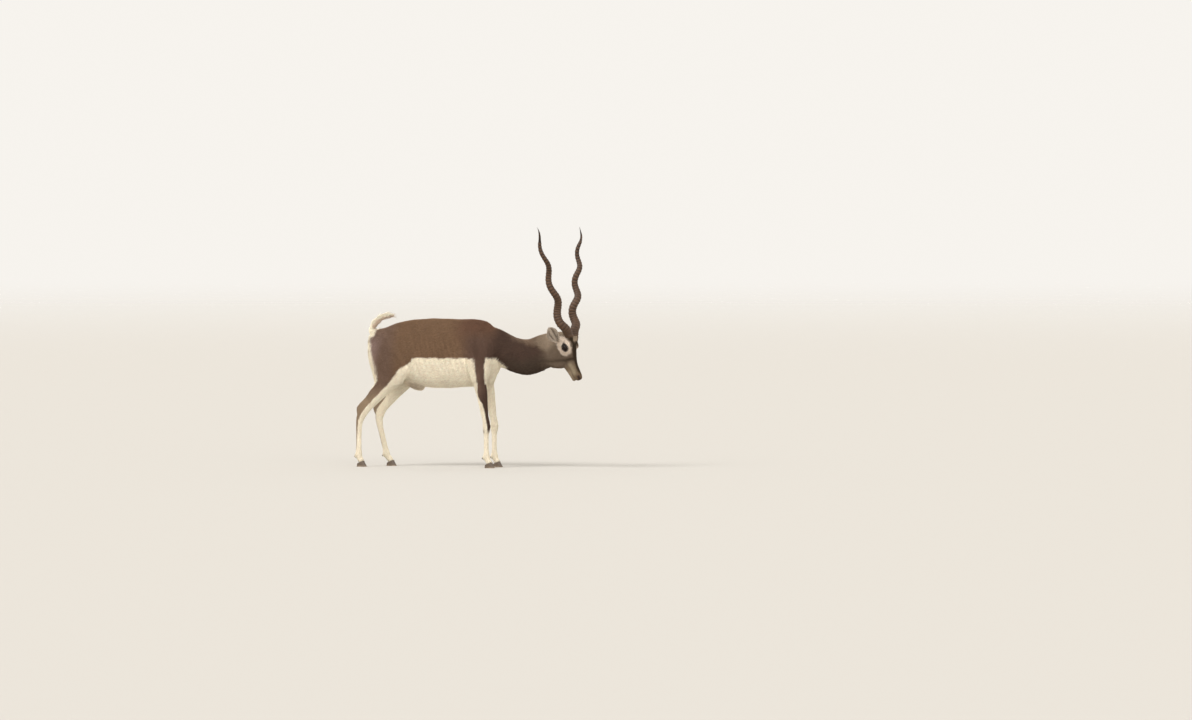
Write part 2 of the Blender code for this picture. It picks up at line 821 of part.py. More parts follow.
def build():
    """Makes every node in the trunk's frame, then places it."""
    # Flesh of the body, whole
    pieces = [shell("trunk", egg_rings(TRUNK)), limb(NECK, sides=24), limb(SHEATH, sides=12)]
    pieces.append(ball((-176, 0, 442), (22, 20, 34)))
    pieces += [ball((-178, s * 62, 676), (42, 17, 32)) for s in (-1, 1)]
    pieces += fore_limb(-1, 0.0) + fore_limb(1, LEFT_FORE_STEP)
    pieces += hind_limb(-1, RIGHT_HIND_AHEAD) + hind_limb(1, LEFT_HIND_AHEAD)
    pieces += placed(head_pieces(), HEAD)
    pieces += [limb(THROAT), limb(TAIL[:3], sides=12)]

    def slack(point):
        return float(np.interp(point.z, (230, 330, 430), (0.06, 0.2, 1.0)))

    body = fused("torso", pieces, 5.0, 24, 5500, slack)

    # Flesh of the head, finer, with the end of the neck
    fine = placed(head_pieces(), HEAD) + [limb(NECK[4:], sides=24), limb(THROAT)]
    head = fused("head", fine, 2.4, 8, 3500)

    # Neck and head
    carve(body, slab(HEAD_CUT, (1, 0, 0), -GAP / 2))
    carve(head, slab(HEAD_CUT, (-1, 0, 0), -GAP / 2))
    body, neck = split(body, NECK_CUT, NECK_WAY, "neck")
    carve(head, *[cut(s) for s in (-1, 1)
                  for cut in (horn_seat, ear_seat, lid_opening, eye_socket, tear_slit, nostril)])
    carve(head, mouth_line())
    finish(largest(head), "head", CHEEK)
    finish(largest(neck), "neck", COAT)

    # Tail
    carve(body, tail_seat())
    finish(tail(), "tail", WHITE)

    # Legs
    for side, word, fore_step, ahead in (
        (-1, "right", 0.0, RIGHT_HIND_AHEAD),
        (1, "left", LEFT_FORE_STEP, LEFT_HIND_AHEAD),
    ):
        legs(body, side, word, fore_step, ahead)
    finish(largest(body), "torso", COAT)

    for side, word in ((-1, "right"), (1, "left")):
        finish(horn(side), f"horn_{word}", HORN, 0.55)
        finish(ear(side), f"ear_{word}", CHEEK)
        finish(eye(side), f"eye_{word}", EYE_BROWN, 0.1)


HEAD_CUT = (650, 0, 600)
NECK_CUT = (350, 0, 632)
NECK_WAY = (0.958, 0, 0.285)

FORE_BOX = ((222, 437), (376, 437), (376, -20), (222, -20))
FORE_INNER = 40.0
HIND_BOX = ((-74, 520), (-345, 560), (-440, 330), (-440, -20), (-140, -20), (-140, 405))
HIND_INNER = 20.0
KNEE_CUT = 243.0
HOCK_CUT = (-312, 0, 311)
HOCK_WAY = (-0.72, 0, -0.69)


def legs(body, side, word, fore_step, ahead):
    """Cuts one side's legs from the body, parts them at knee and hock, and shoes them."""
    shifts = [np.interp(z, *zip(*ahead)) for _, z in HIND_BOX]
    hind_box = [(x + move, z) for (x, z), move in zip(HIND_BOX, shifts)]
    for name, outline, inner, reach in (
        ("foreleg", FORE_BOX, FORE_INNER, 160),
        ("hindleg", hind_box, HIND_INNER, 180),
    ):
        low, high = sorted((side * inner, side * reach))
        leg = boolean(copy_of(body, name), prism(outline, low, high), "INTERSECT")
        middle = Vector((sum(x for x, _ in outline), 0, sum(z for _, z in outline))) / len(outline)
        wider = []
        for i, (x, z) in enumerate(outline):
            away = (Vector((x, 0, z)) - middle).normalized() * 2 * GAP
            wider.append((x + away.x, z + away.z))
        low, high = sorted((side * (inner - GAP), side * (reach + GAP)))
        carve(body, prism(wider, low, high))
        largest(leg)
        if name == "foreleg":
            cut, way = (0, 0, KNEE_CUT), (0, 0, -1)
            foot = 332 + fore_step
            track = FORE_TRACK
        else:
            cut = (HOCK_CUT[0] + np.interp(HOCK_CUT[2], *zip(*ahead)), 0, HOCK_CUT[2])
            way = HOCK_WAY
            foot = -348 + np.interp(20, *zip(*ahead))
            track = HIND_TRACK
        leg, lower = split(leg, cut, way, "lower")
        carve(lower, slab((foot, 0, HOOF_TOP), -CORONET, -GAP / 2, size=400))
        finish(largest(leg), f"{name}_{word}_upper", COAT)
        finish(largest(lower), f"{name}_{word}_lower", WHITE)
        for s, where in ((-1, "right"), (1, "left")):
            finish(claw(foot, side * track, s), f"{name}_{word}_claw_{where}", HOOF, 0.5)


def main():
    for obj in list(bpy.data.objects):
        bpy.data.objects.remove(obj)
    build()
    for obj in list(bpy.data.objects):
        if obj.hide_render:
            bpy.data.objects.remove(obj)


main()
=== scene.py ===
import bpy
import math
import numpy as np
from mathutils import Matrix, Vector, noise


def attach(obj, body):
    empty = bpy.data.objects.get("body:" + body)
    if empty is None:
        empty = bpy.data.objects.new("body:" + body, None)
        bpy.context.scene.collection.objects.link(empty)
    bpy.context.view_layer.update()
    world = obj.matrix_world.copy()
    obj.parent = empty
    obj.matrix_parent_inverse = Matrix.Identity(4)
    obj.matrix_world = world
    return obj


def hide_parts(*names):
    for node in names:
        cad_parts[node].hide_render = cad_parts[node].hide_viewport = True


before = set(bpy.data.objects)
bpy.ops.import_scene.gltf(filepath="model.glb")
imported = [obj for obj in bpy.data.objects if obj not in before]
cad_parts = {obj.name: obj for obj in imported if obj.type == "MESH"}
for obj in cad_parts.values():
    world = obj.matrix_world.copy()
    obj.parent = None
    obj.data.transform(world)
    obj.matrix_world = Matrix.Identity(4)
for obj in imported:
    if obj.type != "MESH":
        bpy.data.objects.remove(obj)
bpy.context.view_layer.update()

bpy.ops.object.select_all(action="DESELECT")


# The hide. On the real animal one skin runs over trunk, neck, head, ears, tail and legs, just
# under the coat. It is grown here from the CAD forms, finer on the head than on the body, and
# the folds of the lids, nostrils, flank, neck and tendons are then pressed into it.

MIDDLE = np.array((217.2, -27.4, 0.0))  # the frame's origin in the drawing's millimetres
NOSE = np.array((806.0, -47.0, 457.0))
YAW = Matrix.Rotation(math.radians(-10), 3, "Z")
HEAD_YAW = np.array(YAW)
HEAD_TURN = np.array(YAW @ Matrix.Rotation(math.radians(60), 3, "Y"))
THROAT_CUT = (590.0, -18.0, 585.0)  # where the fine skin of the head meets that of the body
THROAT_WAY = (0.943, -0.14, 0.30)
SIDES = {"right": -1, "left": 1}
LEGS = [f"{leg}_{side}" for leg in ("foreleg", "hindleg") for side in SIDES]
LEG_NODES = [f"{leg}_{part}" for leg in LEGS for part in ("upper", "lower")]
BODY_NODES = ["torso", "neck", *LEG_NODES]
HEAD_NODES = ["neck", "head", "ear_left", "ear_right"]
MERGED = 0.00002  # points of the CAD nearer than this are one, in metres
SWOLLEN = 0.0004  # how far the CAD forms grow, so that they touch and fuse
BODY_CELL, BODY_ROUNDS = 0.0042, 14  # the grid on which the skin is grown, and its smoothing
HEAD_CELL, HEAD_ROUNDS = 0.0015, 10
PULL_IN, PUSH_OUT = 0.52, -0.54  # the two halves of a round of smoothing, which keep the size
FACET_ROUNDS = 45
FACES_KEPT = 0.55
TAIL_PATH = (
    # x, height, half depth, half width
    (-286, 650, 16, 18),
    (-306, 676, 12, 14),
    (-312, 700, 9, 11),
    (-303, 727, 8, 10),
    (-277, 756, 7, 9),
    (-243, 772, 6, 8),
    (-216, 777, 4.5, 5),
)
TAIL_LINE = [(x, 0, z) for x, z, _, _ in TAIL_PATH]


def drawn(points):
    """The frame's metres as the drawing's millimetres."""
    return np.asarray(points, float) * 1000 + MIDDLE


def metres(points):
    return (np.asarray(points, float) - MIDDLE) / 1000


def to_head(points):
    """Drawing to the head's frame: nose tip at zero, x out of the nose, z out of the brow."""
    return (points - NOSE) @ HEAD_TURN


def from_head(points):
    return np.asarray(points, float) @ HEAD_TURN.T + NOSE


def places(piece, what="co"):
    values = np.empty(len(piece.data.vertices) * 3, np.float32)
    piece.data.vertices.foreach_get(what, values)
    return values.reshape(-1, 3).astype(float)


def put(piece, points):
    piece.data.vertices.foreach_set("co", np.asarray(points, np.float32).ravel())
    piece.data.update()


def edges_of(piece):
    pairs = np.empty(len(piece.data.edges) * 2, np.int32)
    piece.data.edges.foreach_get("vertices", pairs)
    return pairs.reshape(-1, 2)


def pick(*chosen):
    bpy.ops.object.select_all(action="DESELECT")
    for piece in chosen:
        piece.select_set(True)
    bpy.context.view_layer.objects.active = chosen[0]


def edit(piece, operator, **settings):
    """Runs one operator of the edit mode on the whole of a piece."""
    pick(piece)
    bpy.ops.object.mode_set(mode="EDIT")
    bpy.ops.mesh.select_all(action="SELECT")
    operator(**settings)
    bpy.ops.object.mode_set(mode="OBJECT")


def copy_of(node, name):
    """A merged copy of a CAD node."""
    piece = bpy.data.objects.new(name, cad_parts[node].data.copy())
    bpy.context.scene.collection.objects.link(piece)
    edit(piece, bpy.ops.mesh.remove_doubles, threshold=MERGED)
    return piece


def apply_all(piece):
    pick(piece)
    for modifier in list(piece.modifiers):
        bpy.ops.object.modifier_apply(modifier=modifier.name)


def around(values, edges):
    """The mean of a value over each point's neighbours."""
    a, b = edges.T
    count = np.bincount(edges.ravel(), minlength=len(values))
    both = [np.bincount(a, column[b], len(values)) + np.bincount(b, column[a], len(values))
            for column in values.T]
    return np.column_stack(both) / np.maximum(count, 1)[:, None]


def relaxed(points, edges, rounds, share=1.0):
    """Smooths the facets away without shrinking the form."""
    points = points.copy()
    for _ in range(rounds):
        for pull in (PULL_IN, PUSH_OUT):
            points += (around(points, edges) - points) * pull * share
    return points


def grown(name, pieces, cell, rounds):
    """Pieces swollen until they touch, fused into one skin, and smoothed."""
    for piece in pieces:
        put(piece, places(piece) + places(piece, "normal") * SWOLLEN)
    pick(*pieces)
    bpy.ops.object.join()
    skin = bpy.context.object
    skin.name = name
    fuse = skin.modifiers.new("Fuse", "REMESH")
    fuse.mode = "VOXEL"
    fuse.voxel_size = cell
    apply_all(skin)
    put(skin, relaxed(places(skin), edges_of(skin), rounds))
    return skin


def half_of(skin, ahead):
    """Keeps the skin on one side of the throat cut, open there."""
    edit(skin, bpy.ops.mesh.bisect, plane_co=metres(THROAT_CUT), plane_no=THROAT_WAY,
         clear_inner=ahead, clear_outer=not ahead)
    return skin


def tail_core():
    """The fleshy tail, extruded ring by ring from a circle of one millimetre."""
    x, z, deep, wide = TAIL_PATH[0]
    root = metres((x, 0, z))
    bpy.ops.mesh.primitive_circle_add(vertices=20, radius=0.001, fill_type="NGON", location=root)
    core = bpy.context.object
    bpy.ops.object.transform_apply()
    bpy.ops.object.mode_set(mode="EDIT")
    bpy.ops.mesh.select_all(action="SELECT")
    bpy.ops.transform.resize(value=(deep, wide, 1), center_override=root)
    lean = 0.0
    for here, there in zip(TAIL_PATH, TAIL_PATH[1:]):
        step = np.array((there[0] - here[0], 0, there[1] - here[1])) / 1000
        bpy.ops.mesh.extrude_region_move(TRANSFORM_OT_translate={"value": step})
        middle = metres((there[0], 0, there[1]))
        deeper, wider = there[2] / here[2], there[3] / here[3]
        bpy.ops.transform.resize(value=(deeper, wider, deeper), center_override=middle)
        before, lean = lean, math.atan2(step[0], step[2])
        bpy.ops.transform.rotate(value=before - lean, orient_axis="Y", center_override=middle)
    bpy.ops.mesh.select_all(action="SELECT")
    bpy.ops.mesh.normals_make_consistent(inside=False)
    bpy.ops.object.mode_set(mode="OBJECT")
    return core


def whole_skin():
    """The skin of the body and the finer one of the head, bridged at the throat cut."""
    body = [copy_of(node, "hide_body") for node in BODY_NODES] + [tail_core()]
    skin = half_of(grown("hide_body", body, BODY_CELL, BODY_ROUNDS), False)
    head = [copy_of(node, "hide_head") for node in HEAD_NODES]
    fine = half_of(grown("hide_head", head, HEAD_CELL, HEAD_ROUNDS), True)
    pick(skin, fine)
    bpy.ops.object.join()
    skin.name = skin.data.name = "hide"
    bpy.ops.object.mode_set(mode="EDIT")
    bpy.ops.mesh.select_all(action="DESELECT")
    bpy.ops.mesh.select_mode(type="EDGE")
    bpy.ops.mesh.select_non_manifold(extend=False)
    bpy.ops.mesh.bridge_edge_loops()
    bpy.ops.mesh.select_all(action="SELECT")
    bpy.ops.mesh.quads_convert_to_tris()
    bpy.ops.object.mode_set(mode="OBJECT")
    skin.data.polygons.foreach_set("use_smooth", np.ones(len(skin.data.polygons), bool))
    skin.data.update()
    return skin


def faded(low, high, value):
    """0 below low, 1 above high, and smooth between them."""
    t = np.clip((value - low) / (high - low), 0, 1)
    return t * t * (3 - 2 * t)


def between(low, high, soft, value):
    """1 between low and high, with soft ends."""
    return faded(low - soft, low + soft, value) * faded(high + soft, high - soft, value)


def ridge(value, middle, width):
    return np.exp(-(((value - middle) / width) ** 2))


def blend(first, second, share):
    return first + (second - first) * share


def unit(vectors):
    return vectors / np.maximum(np.linalg.norm(vectors, axis=-1, keepdims=True), 1e-9)


def dots(first, second):
    return np.einsum("ij,ij->i", first, second)


def near_line(points, line, width):
    """1 on a broken line of points and falling away over the width."""
    far = np.full(len(points), 1e9)
    for a, b in zip(line, line[1:]):
        a, b = np.array(a, float), np.array(b, float)
        t = np.clip((points - a) @ (b - a) / ((b - a) @ (b - a)), 0, 1)
        far = np.minimum(far, np.linalg.norm(points - a - t[:, None] * (b - a), axis=1))
    return np.exp(-((far / width) ** 2))


def past_poll(head):
    """How far a point of the head's frame lies ahead of a plane through poll and throat."""
    return 0.5 * head[:, 0] + 0.86 * head[:, 2]


EYE_SPOT = np.array((-170.0, 38.0, 27.0))
EYE_LOOK = np.array((0.36, 0.91, 0.16))
EYE_LOOK /= np.linalg.norm(EYE_LOOK)
EYE_ALONG = (0.93, -0.36, -0.30)
LID_LONG, LID_HIGH = 15.5, 11  # half the length and half the height of the lids' opening


def eye_frame(side):
    """Centre of the eyeball, along the lids to the inner corner, up over them, and outwards."""
    look = EYE_LOOK * (1, side, 1)
    along = np.multiply(EYE_ALONG, (1, side, 1))
    along = unit(along - look * (along @ look))
    return EYE_SPOT * (1, side, 1), along, np.cross(look, along) * -side, look


def almond(angle):
    """How high the lids' opening is, against an oval, at each angle round it."""
    return 0.75 + 0.25 * np.abs(np.sin(angle))


def lid_ring(points, side):
    """How far out a point of the head lies from the lids' opening, which is 1, and its place
    along the eye's long axis, above it and in front of the eyeball's middle."""
    spot, along, over, look = eye_frame(side)
    u, v, w = ((points - spot) @ way for way in (along, over, look))
    high = LID_HIGH * almond(np.arctan2(v / LID_HIGH, u / LID_LONG))
    return np.hypot(u / LID_LONG, v / high), u, v, w


EAR_ROOT = np.array((-208.0, 62.0, 16.0))
EAR_LENGTH, EAR_REACH = 118.0, 130
EAR_AXIS = {side: HEAD_YAW @ (-0.04, side * 0.80, 0.60) for side in SIDES.values()}
EAR_HALF = (
    # shares of the ear's length from root to tip, and its half width there
    (0, 0.1, 0.2, 0.32, 0.5, 0.68, 0.84, 0.95, 1),
    (14.6, 15.6, 20, 25.5, 29.5, 27, 19, 9.5, 3),
)


def ear_gap(points, side):
    """How far a point lies from an ear's axis, and how far along it from the root."""
    axis = EAR_AXIS[side]
    away = points - from_head(EAR_ROOT * (1, side, 1))
    along = away @ axis
    return np.linalg.norm(away - np.clip(along, 0, EAR_REACH)[:, None] * axis, axis=1), along


LEG_TOP = 430  # height of elbow and stifle
FORE_APART, HIND_APART = (74, 61), (76, 70)  # half the gap between two legs, above and below that
# Heights, and where along the body the middle of the right leg stands there.
FORE_AXIS = (
    (25, 48, 62, 120, 215, 320, 418, 452, 495, 556),
    (334, 322, 319, 318, 319, 303, 288, 285, 296, 310),
)
HIND_AXIS = (
    (26, 51, 66, 195, 236, 266, 296, 334, 390, 446, 520, 585, 655),
    (-345, -358, -360, -359, -355, -344, -323, -287, -241, -198, -186, -208, -240),
)
# Heights, and how far ahead of the right leg the left one stands there.
FORE_LEAD = (0, 300, 430), (6, 4.8, 0)
HIND_LEAD = (0, 60, 300, 420, 480, 560, 640), (120, 105, 44, 34, 30, 14, 0)


def leg_axis(z, side, fore):
    """Where along the body the middle of a leg stands at each height."""
    axis, lead = (FORE_AXIS, FORE_LEAD) if fore else (HIND_AXIS, HIND_LEAD)
    return np.interp(z, *axis) + np.interp(z, *lead) * (side > 0)


def round_leg(points, fore):
    """Angle round a leg of one pair: 0 outside, 90 in front, 180 inside and -90 behind."""
    x, y, z = points.T
    middle = np.where(z > LEG_TOP, *(FORE_APART if fore else HIND_APART))
    return np.degrees(np.arctan2(x - leg_axis(z, y, fore), np.abs(y) - middle))


def round_nearer(points):
    """The same angle, round the leg that is nearer."""
    return np.where(points[:, 0] > 0, round_leg(points, True), round_leg(points, False))


# Lines on the left side of the head, in its own frame.
GLAND = (-122, 37, 12), (-130, 41, 3), (-137, 41, -8)
NOSTRIL_PIT = (8, 8.5, 3.5), (1, 13.5, 7), (-6, 18, 10)
NOSTRIL_EDGE = (9, 8, 4), (1, 13.5, 7), (-8, 19, 11)
MOUTH = (9, 4, -14.5), (-4, 18, -14.8), (-42, 25, -12.4), (-62, 26.5, -9)
FACE_LINES = (
    # a line, then the half width of each stroke along it and how far it stands out of the face
    (((-128, 33, -24), (-104, 32, -16), (-84, 26, -4), (-62, 24, 2)), (1.6, 0.8)),
    (((-104, 32, -16), (-92, 22, 18), (-70, 17, 24)), (1.4, 0.6)),
    (GLAND, (7, 1.3), (3.2, -1.5)),
    (((10, 9, 8), (4, 14, 12), (-6, 18.5, 15), (-12, 21, 9)), (3.0, 1.5)),
    (NOSTRIL_PIT, (2.6, -3.6)),
    (((-12, 17, 18), (-18, 21, 8)), (2.6, -1.0)),
    (((8, 7, -11), (-4, 19, -11), (-20, 24, -10.5), (-50, 26, -7.5)), (3, 0.8)),
)
SHANK_GROOVES, SHANK_CORD = (-42, -142), -92  # angles round the leg
FLANK_FOLD = (-150, 0, 420), (-98, 0, 480), (-62, 0, 560)
ELBOW_CREASE = (244, 0, 440), (222, 0, 500), (214, 0, 560)
RIB_GAP = 27
THROAT_CREASES = (742, 768, 792)


def press_face(out, head):
    """Adds lids, veins, tear glands, nostrils and lips."""
    for side in SIDES.values():
        ring, u, v, w = lid_ring(head, side)
        close = (w > -2) & (np.hypot(np.hypot(u, v), w) < 48)
        upper = faded(-4, 4, v)
        lids = 0.7 * ridge(ring, 1.22, 0.13) - 1.1 * ridge(ring, 1.58, 0.10) * (0.45 + 0.55 * upper)
        lids += 0.6 * ridge(ring, 1.80, 0.14) - 0.6 * ridge(ring, 2.10, 0.09) * (1 - 0.5 * upper)
        lids += 0.35 * ridge(ring, 2.28, 0.10) - 0.3 * ridge(ring, 2.5, 0.08)
        out += lids * close
        for line, *strokes in FACE_LINES:
            line = np.multiply(line, (1, side, 1))
            out += sum(height * near_line(head, line, width) for width, height in strokes)
    hx, hy, hz = head.T
    out -= 1.6 * ridge(hy, 0, 1.3) * faded(-2, 3, hx) * faded(5, -2, hz)
    out -= 0.5 * ridge(hy, 0, 5) * faded(-190, -170, hx) * faded(-60, -90, hx) * faded(30, 50, hz)


def press_legs(out, points):
    """Adds tendons, the fold in front of the wrist, and the bones at its sides."""
    x, _, z = points.T
    turn = round_nearer(points)
    shank = faded(240, 200, z) * faded(62, 84, z)
    for groove in SHANK_GROOVES:
        out -= shank * ridge(turn, groove, 20)
    out += 0.8 * shank * ridge(turn, SHANK_CORD, 26)
    out -= 0.9 * ridge(z, 226, 5) * faded(0, 60, x) * faded(20, 70, turn)
    out += ridge(z, 198, 12) * (x > 0) * (z < 240) * ridge(np.abs(turn), 45, 30)


def press_trunk(out, points):
    """Adds flank folds, elbow creases, faint ribs, creases of the throat, and muscles."""
    x, y, z = points.T
    side_view = points * (1, 0, 1)
    outside = np.abs(y) > 60
    out += 3.0 * near_line(side_view, FLANK_FOLD, 15) * outside
    out -= 1.8 * near_line(side_view, ELBOW_CREASE, 7) * outside
    ribs = 0.45 * np.sin((x + 0.30 * (z - 560)) * 2 * math.pi / RIB_GAP)
    out += ribs * faded(-70, -20, x) * faded(215, 180, x) * faded(430, 500, z) * faded(700, 640, z)
    throat = x * 0.958 + z * 0.285 + 0.14 * y
    under = faded(590, 540, z - (x - 600) * 0.1) * faded(470, 560, x) * faded(700, 660, x)
    for crease in THROAT_CREASES:
        out -= 1.3 * ridge(throat, crease, 5) * under
    muscle = np.sin(x * 0.047 + z * 0.021) * np.sin(z * 0.039 - x * 0.017 + np.abs(y) * 0.03)
    out += 0.7 * muscle * faded(240, 420, z)


def pressed(points):
    """How far folds, lids and tendons stand out from the plain form, in millimetres."""
    out = np.zeros(len(points))
    press_face(out, to_head(points))
    press_legs(out, points)
    press_trunk(out, points)
    return out


LEG_COAT, TRUNK_COAT, FACE_COAT, NOSE_COAT, TAIL_COAT = 1.0, 2.6, 0.7, 0.25, 0.3
EAR_COAT, EAR_ROOT_COAT = 0.25, 0.95


def coat_depth(points):
    """How thick the coat lies over the skin, in millimetres."""
    head = to_head(points)
    depth = blend(LEG_COAT, TRUNK_COAT, faded(250, 430, points[:, 2]))
    depth = blend(depth, FACE_COAT, faded(-176, -140, past_poll(head)))
    depth = blend(depth, NOSE_COAT, faded(-30, -6, head[:, 0]))
    for side in SIDES.values():
        ring, _, _, w = lid_ring(head, side)
        depth *= 1 - faded(2.2, 1.5, ring) * (w > -6)
        far, along = ear_gap(points, side)
        thin = blend(EAR_COAT, EAR_ROOT_COAT, faded(6, -20, along))
        depth = np.where(far < 34, np.minimum(depth, thin), depth)
    return blend(depth, TAIL_COAT, faded(0.35, 0.7, near_line(points, TAIL_LINE, 40)))


def facet_share(points):
    """How much the skin is smoothed: fully on the trunk, less on the feet, not on the head."""
    share = faded(-150, -175, past_poll(to_head(points)))
    for side in SIDES.values():
        share *= faded(20, 45, ear_gap(points, side)[0])
    return share * blend(0.15, 1, faded(230, 420, points[:, 2]))


hide = whole_skin()
skin = drawn(places(hide))
skin = relaxed(skin, edges_of(hide), FACET_ROUNDS, facet_share(skin)[:, None])
put(hide, metres(skin))
skin += places(hide, "normal") * (pressed(skin) - coat_depth(skin))[:, None]
put(hide, metres(skin))
thin = hide.modifiers.new("Thin", "DECIMATE")
thin.ratio = FACES_KEPT
apply_all(hide)
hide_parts(*BODY_NODES, "head", "ear_left", "ear_right", "tail")
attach(hide, "root")


# The markings. A grown male is brown above and cream-white below, with a hard edge between, and
# has white rings round the eyes, a dark face and a white rump. The hide and every tuft take
# their colour from this one function of place, so that they always agree. Some of it is painted
# light: the neck's paler top edge is painted sky light, the brown at the sheath is partly its own
# colour and partly painted shade of the groin, and the nostrils' pits are painted shade.

def shade(red, green, blue):
    """A colour as the eye names it, 0 to 255, as light."""
    tone = np.array((red, green, blue)) / 255
    return np.where(tone < 0.04045, tone / 12.92, ((tone + 0.055) / 1.055) ** 2.4)


FLANK = shade(126, 98, 74)
WITHERS = shade(112, 81, 63)
SHOULDER = shade(102, 78, 65)
NECK_BROWN = shade(80, 60, 49)
NECK_DARK = shade(76, 61, 49)
NAPE = shade(160, 141, 120)
# painted sky light, for the paler top edge of the neck
CREST_SKY_LIGHT = shade(126, 104, 86)
THIGH_BROWN = shade(122, 97, 81)
SEAT_BROWN = shade(156, 131, 122)
ARM_BROWN = shade(128, 101, 87)
SHIN_BROWN = shade(134, 111, 88)
HOCK_FAWN = shade(162, 140, 115)
CREAM = shade(252, 239, 217)
# partly the sheath's own brown and partly painted shade of the groin
SHEATH_AND_GROIN_SHADE = shade(150, 126, 102)
CHEEK = shade(112, 95, 79)
JAW = shade(106, 91, 75)
MUZZLE = shade(116, 96, 74)
MUZZLE_SIDE = shade(156, 141, 116)
CHIN = shade(146, 128, 105)
FACE_DARK = shade(58, 44, 28)
BROW = shade(178, 157, 134)
EYE_RING = shade(232, 215, 198)
RING_GREY = shade(172, 153, 134)
LID_DARK = shade(44, 33, 25)
NOSE_DARK = shade(64, 45, 38)
# painted shade for the inside of the nostrils
NOSTRIL_SHADE = shade(26, 17, 14)
EAR_BACK = shade(150, 133, 116)
EAR_WHITE = shade(222, 207, 190)
EAR_STRIPE = shade(112, 94, 80)
TAIL_FAWN = shade(214, 190, 168)
CLAW_DARK = shade(74, 62, 52)

# Places along the body, and the height of each edge or middle line there.
BELLY_EDGE = (
    (-160, -120, -69, -58, 236, 300, 353, 379, 404, 427),
    (470, 512, 540, 560, 560, 564, 564, 559, 540, 514),
)
NECK_MIDDLE = (300, 392, 509, 604, 688), (628, 601, 565, 590, 601)
CREST_EDGE = (430, 500, 560, 600, 650), (668, 640, 628, 620, 590)
# Heights, and the angle round the leg at which its brown ends there.
ARM_REAR = (
    (225, 260, 296, 326, 347, 372, 400, 423, 459, 494, 535, 565),
    (30, 26, 24, 4, -26, -46, -34, -18, -22, -44, -61, -73),
)
ARM_FRONT = (200, 400, 423, 474, 525, 560), (96, 96, 89, 58, 35, 34)
LEFT_ARM_NARROWER = 24
THIGH_REAR = (
    (250, 370, 400, 444, 485, 521, 571, 622, 660, 690),
    (-116, -112, -84, -64, -69, -74, -80, -88, -104, -118),
)
THIGH_FRONT = (
    (85, 188, 249, 301, 347, 383, 425, 456, 492, 517, 537, 560),
    (-60, -34, -14, -10, 0, 18, 33, 43, 55, 70, 79, 100),
)
RUMP_LOW = 400  # below this height the edge of the rump's white runs straight down
# More lines on the left side of the head, in its own frame.
MUZZLE_LINE = (-78, 26, 2), (-58, 24, 4), (-34, 23, 0)
HORN_LINE = (-198, 44, 76), (-180, 31, 75), (-162, 12, 65), (-140, 14, 54)
JAW_STRIPE = (-170, 50, -112), (-145, 47, -80), (-124, 40, -34), (-110, 33, -8), (-104, 28, 16), (-98, 18, 32)
POLL_SPOT = (-206, 52, 34), (-200, 66, 18)
NOSE_BRIDGE = (-165, -120, -60, -10), (14, 22, 15, 10)  # places along it, and its half width
SHEATH_LINE = (-92, -27, 402), (-40, -27, 392)
TAIL_HEART = np.array((-240.0, 0, 700.0))
FACE_BLEND = 26  # how much wider the colour changes from neck to head than the hair does
# Whether on a foreleg, the heights between which they stand, and how far behind its middle.
DEWCLAWS = (True, 34, 68, 18.5), (False, 40, 74, 20.5)


def laid(colour, over, mask):
    return colour + (over - colour) * np.clip(mask, 0, 1)[:, None]


def washed(colour, *layers):
    """A colour with others laid over it in turn, each by its own mask."""
    for over, mask in layers:
        colour = laid(colour, over, mask)
    return colour


def ear_place(points, side):
    """Along an ear from 0 at its root to 1 at its tip, across it, and towards its open face."""
    root, axis = from_head(EAR_ROOT * (1, side, 1)), EAR_AXIS[side]
    face = HEAD_YAW @ (0.66, side * 0.75, 0.0)
    face = unit(face - axis * (face @ axis))
    away = points - root
    return away @ axis / EAR_LENGTH, away @ np.cross(axis, face), away @ face, face


def ear_half(t):
    return np.interp(t, *EAR_HALF)


def in_ear(points, side):
    t, across, ahead, _ = ear_place(points, side)
    return (t > 0.0) & (t < 1.12) & (np.abs(across) < ear_half(t) + 5) & (np.abs(ahead) < 26)


def on_tail(points):
    near = near_line(points, TAIL_LINE[1:], 40) > 0.6
    return near & (points[:, 0] < -195) & (points[:, 2] > 684 + 0.5 * (points[:, 0] + 300))


def into_curl(points):
    """The way from each point of the tail to the middle of its curl."""
    return unit((TAIL_HEART - points) * (1, 0, 1))


def in_face(points, soft=0):
    """0 on the neck and 1 on the head, changing along the line from poll to throat."""
    return faded(-182 - soft, -158 + soft, past_poll(to_head(points)))


def brown_leg(points, wave):
    """The brown that runs down the outside of each leg, and stops along the white of the rump."""
    x, y, z = points.T
    turn = round_leg(points, True) + wave
    front = np.interp(z, *ARM_FRONT) - LEFT_ARM_NARROWER * (y > 0)
    fore = between(np.interp(z, *ARM_REAR), front, 6, turn) * faded(176, 204, z)
    knee = ridge(z, 188, 9) * (ridge(turn, 78, 26) + ridge(turn, -62, 26))
    fore = np.maximum(fore, 0.7 * knee * (y < 0))
    turn = round_leg(points, False) + wave
    hind = between(np.interp(z, *THIGH_REAR), np.interp(z, *THIGH_FRONT), 5, turn) * faded(84, 118, z)
    return np.where(x > 60, fore, hind)


def on_dewclaw(points):
    """The two small horny points behind each fetlock."""
    x, y, z = points.T
    found = np.zeros(len(points), bool)
    for fore, low, high, behind in DEWCLAWS:
        found |= (z > low) & (z < high) & (x < leg_axis(z, y, fore) - behind) & ((x > 0) == fore)
    return found


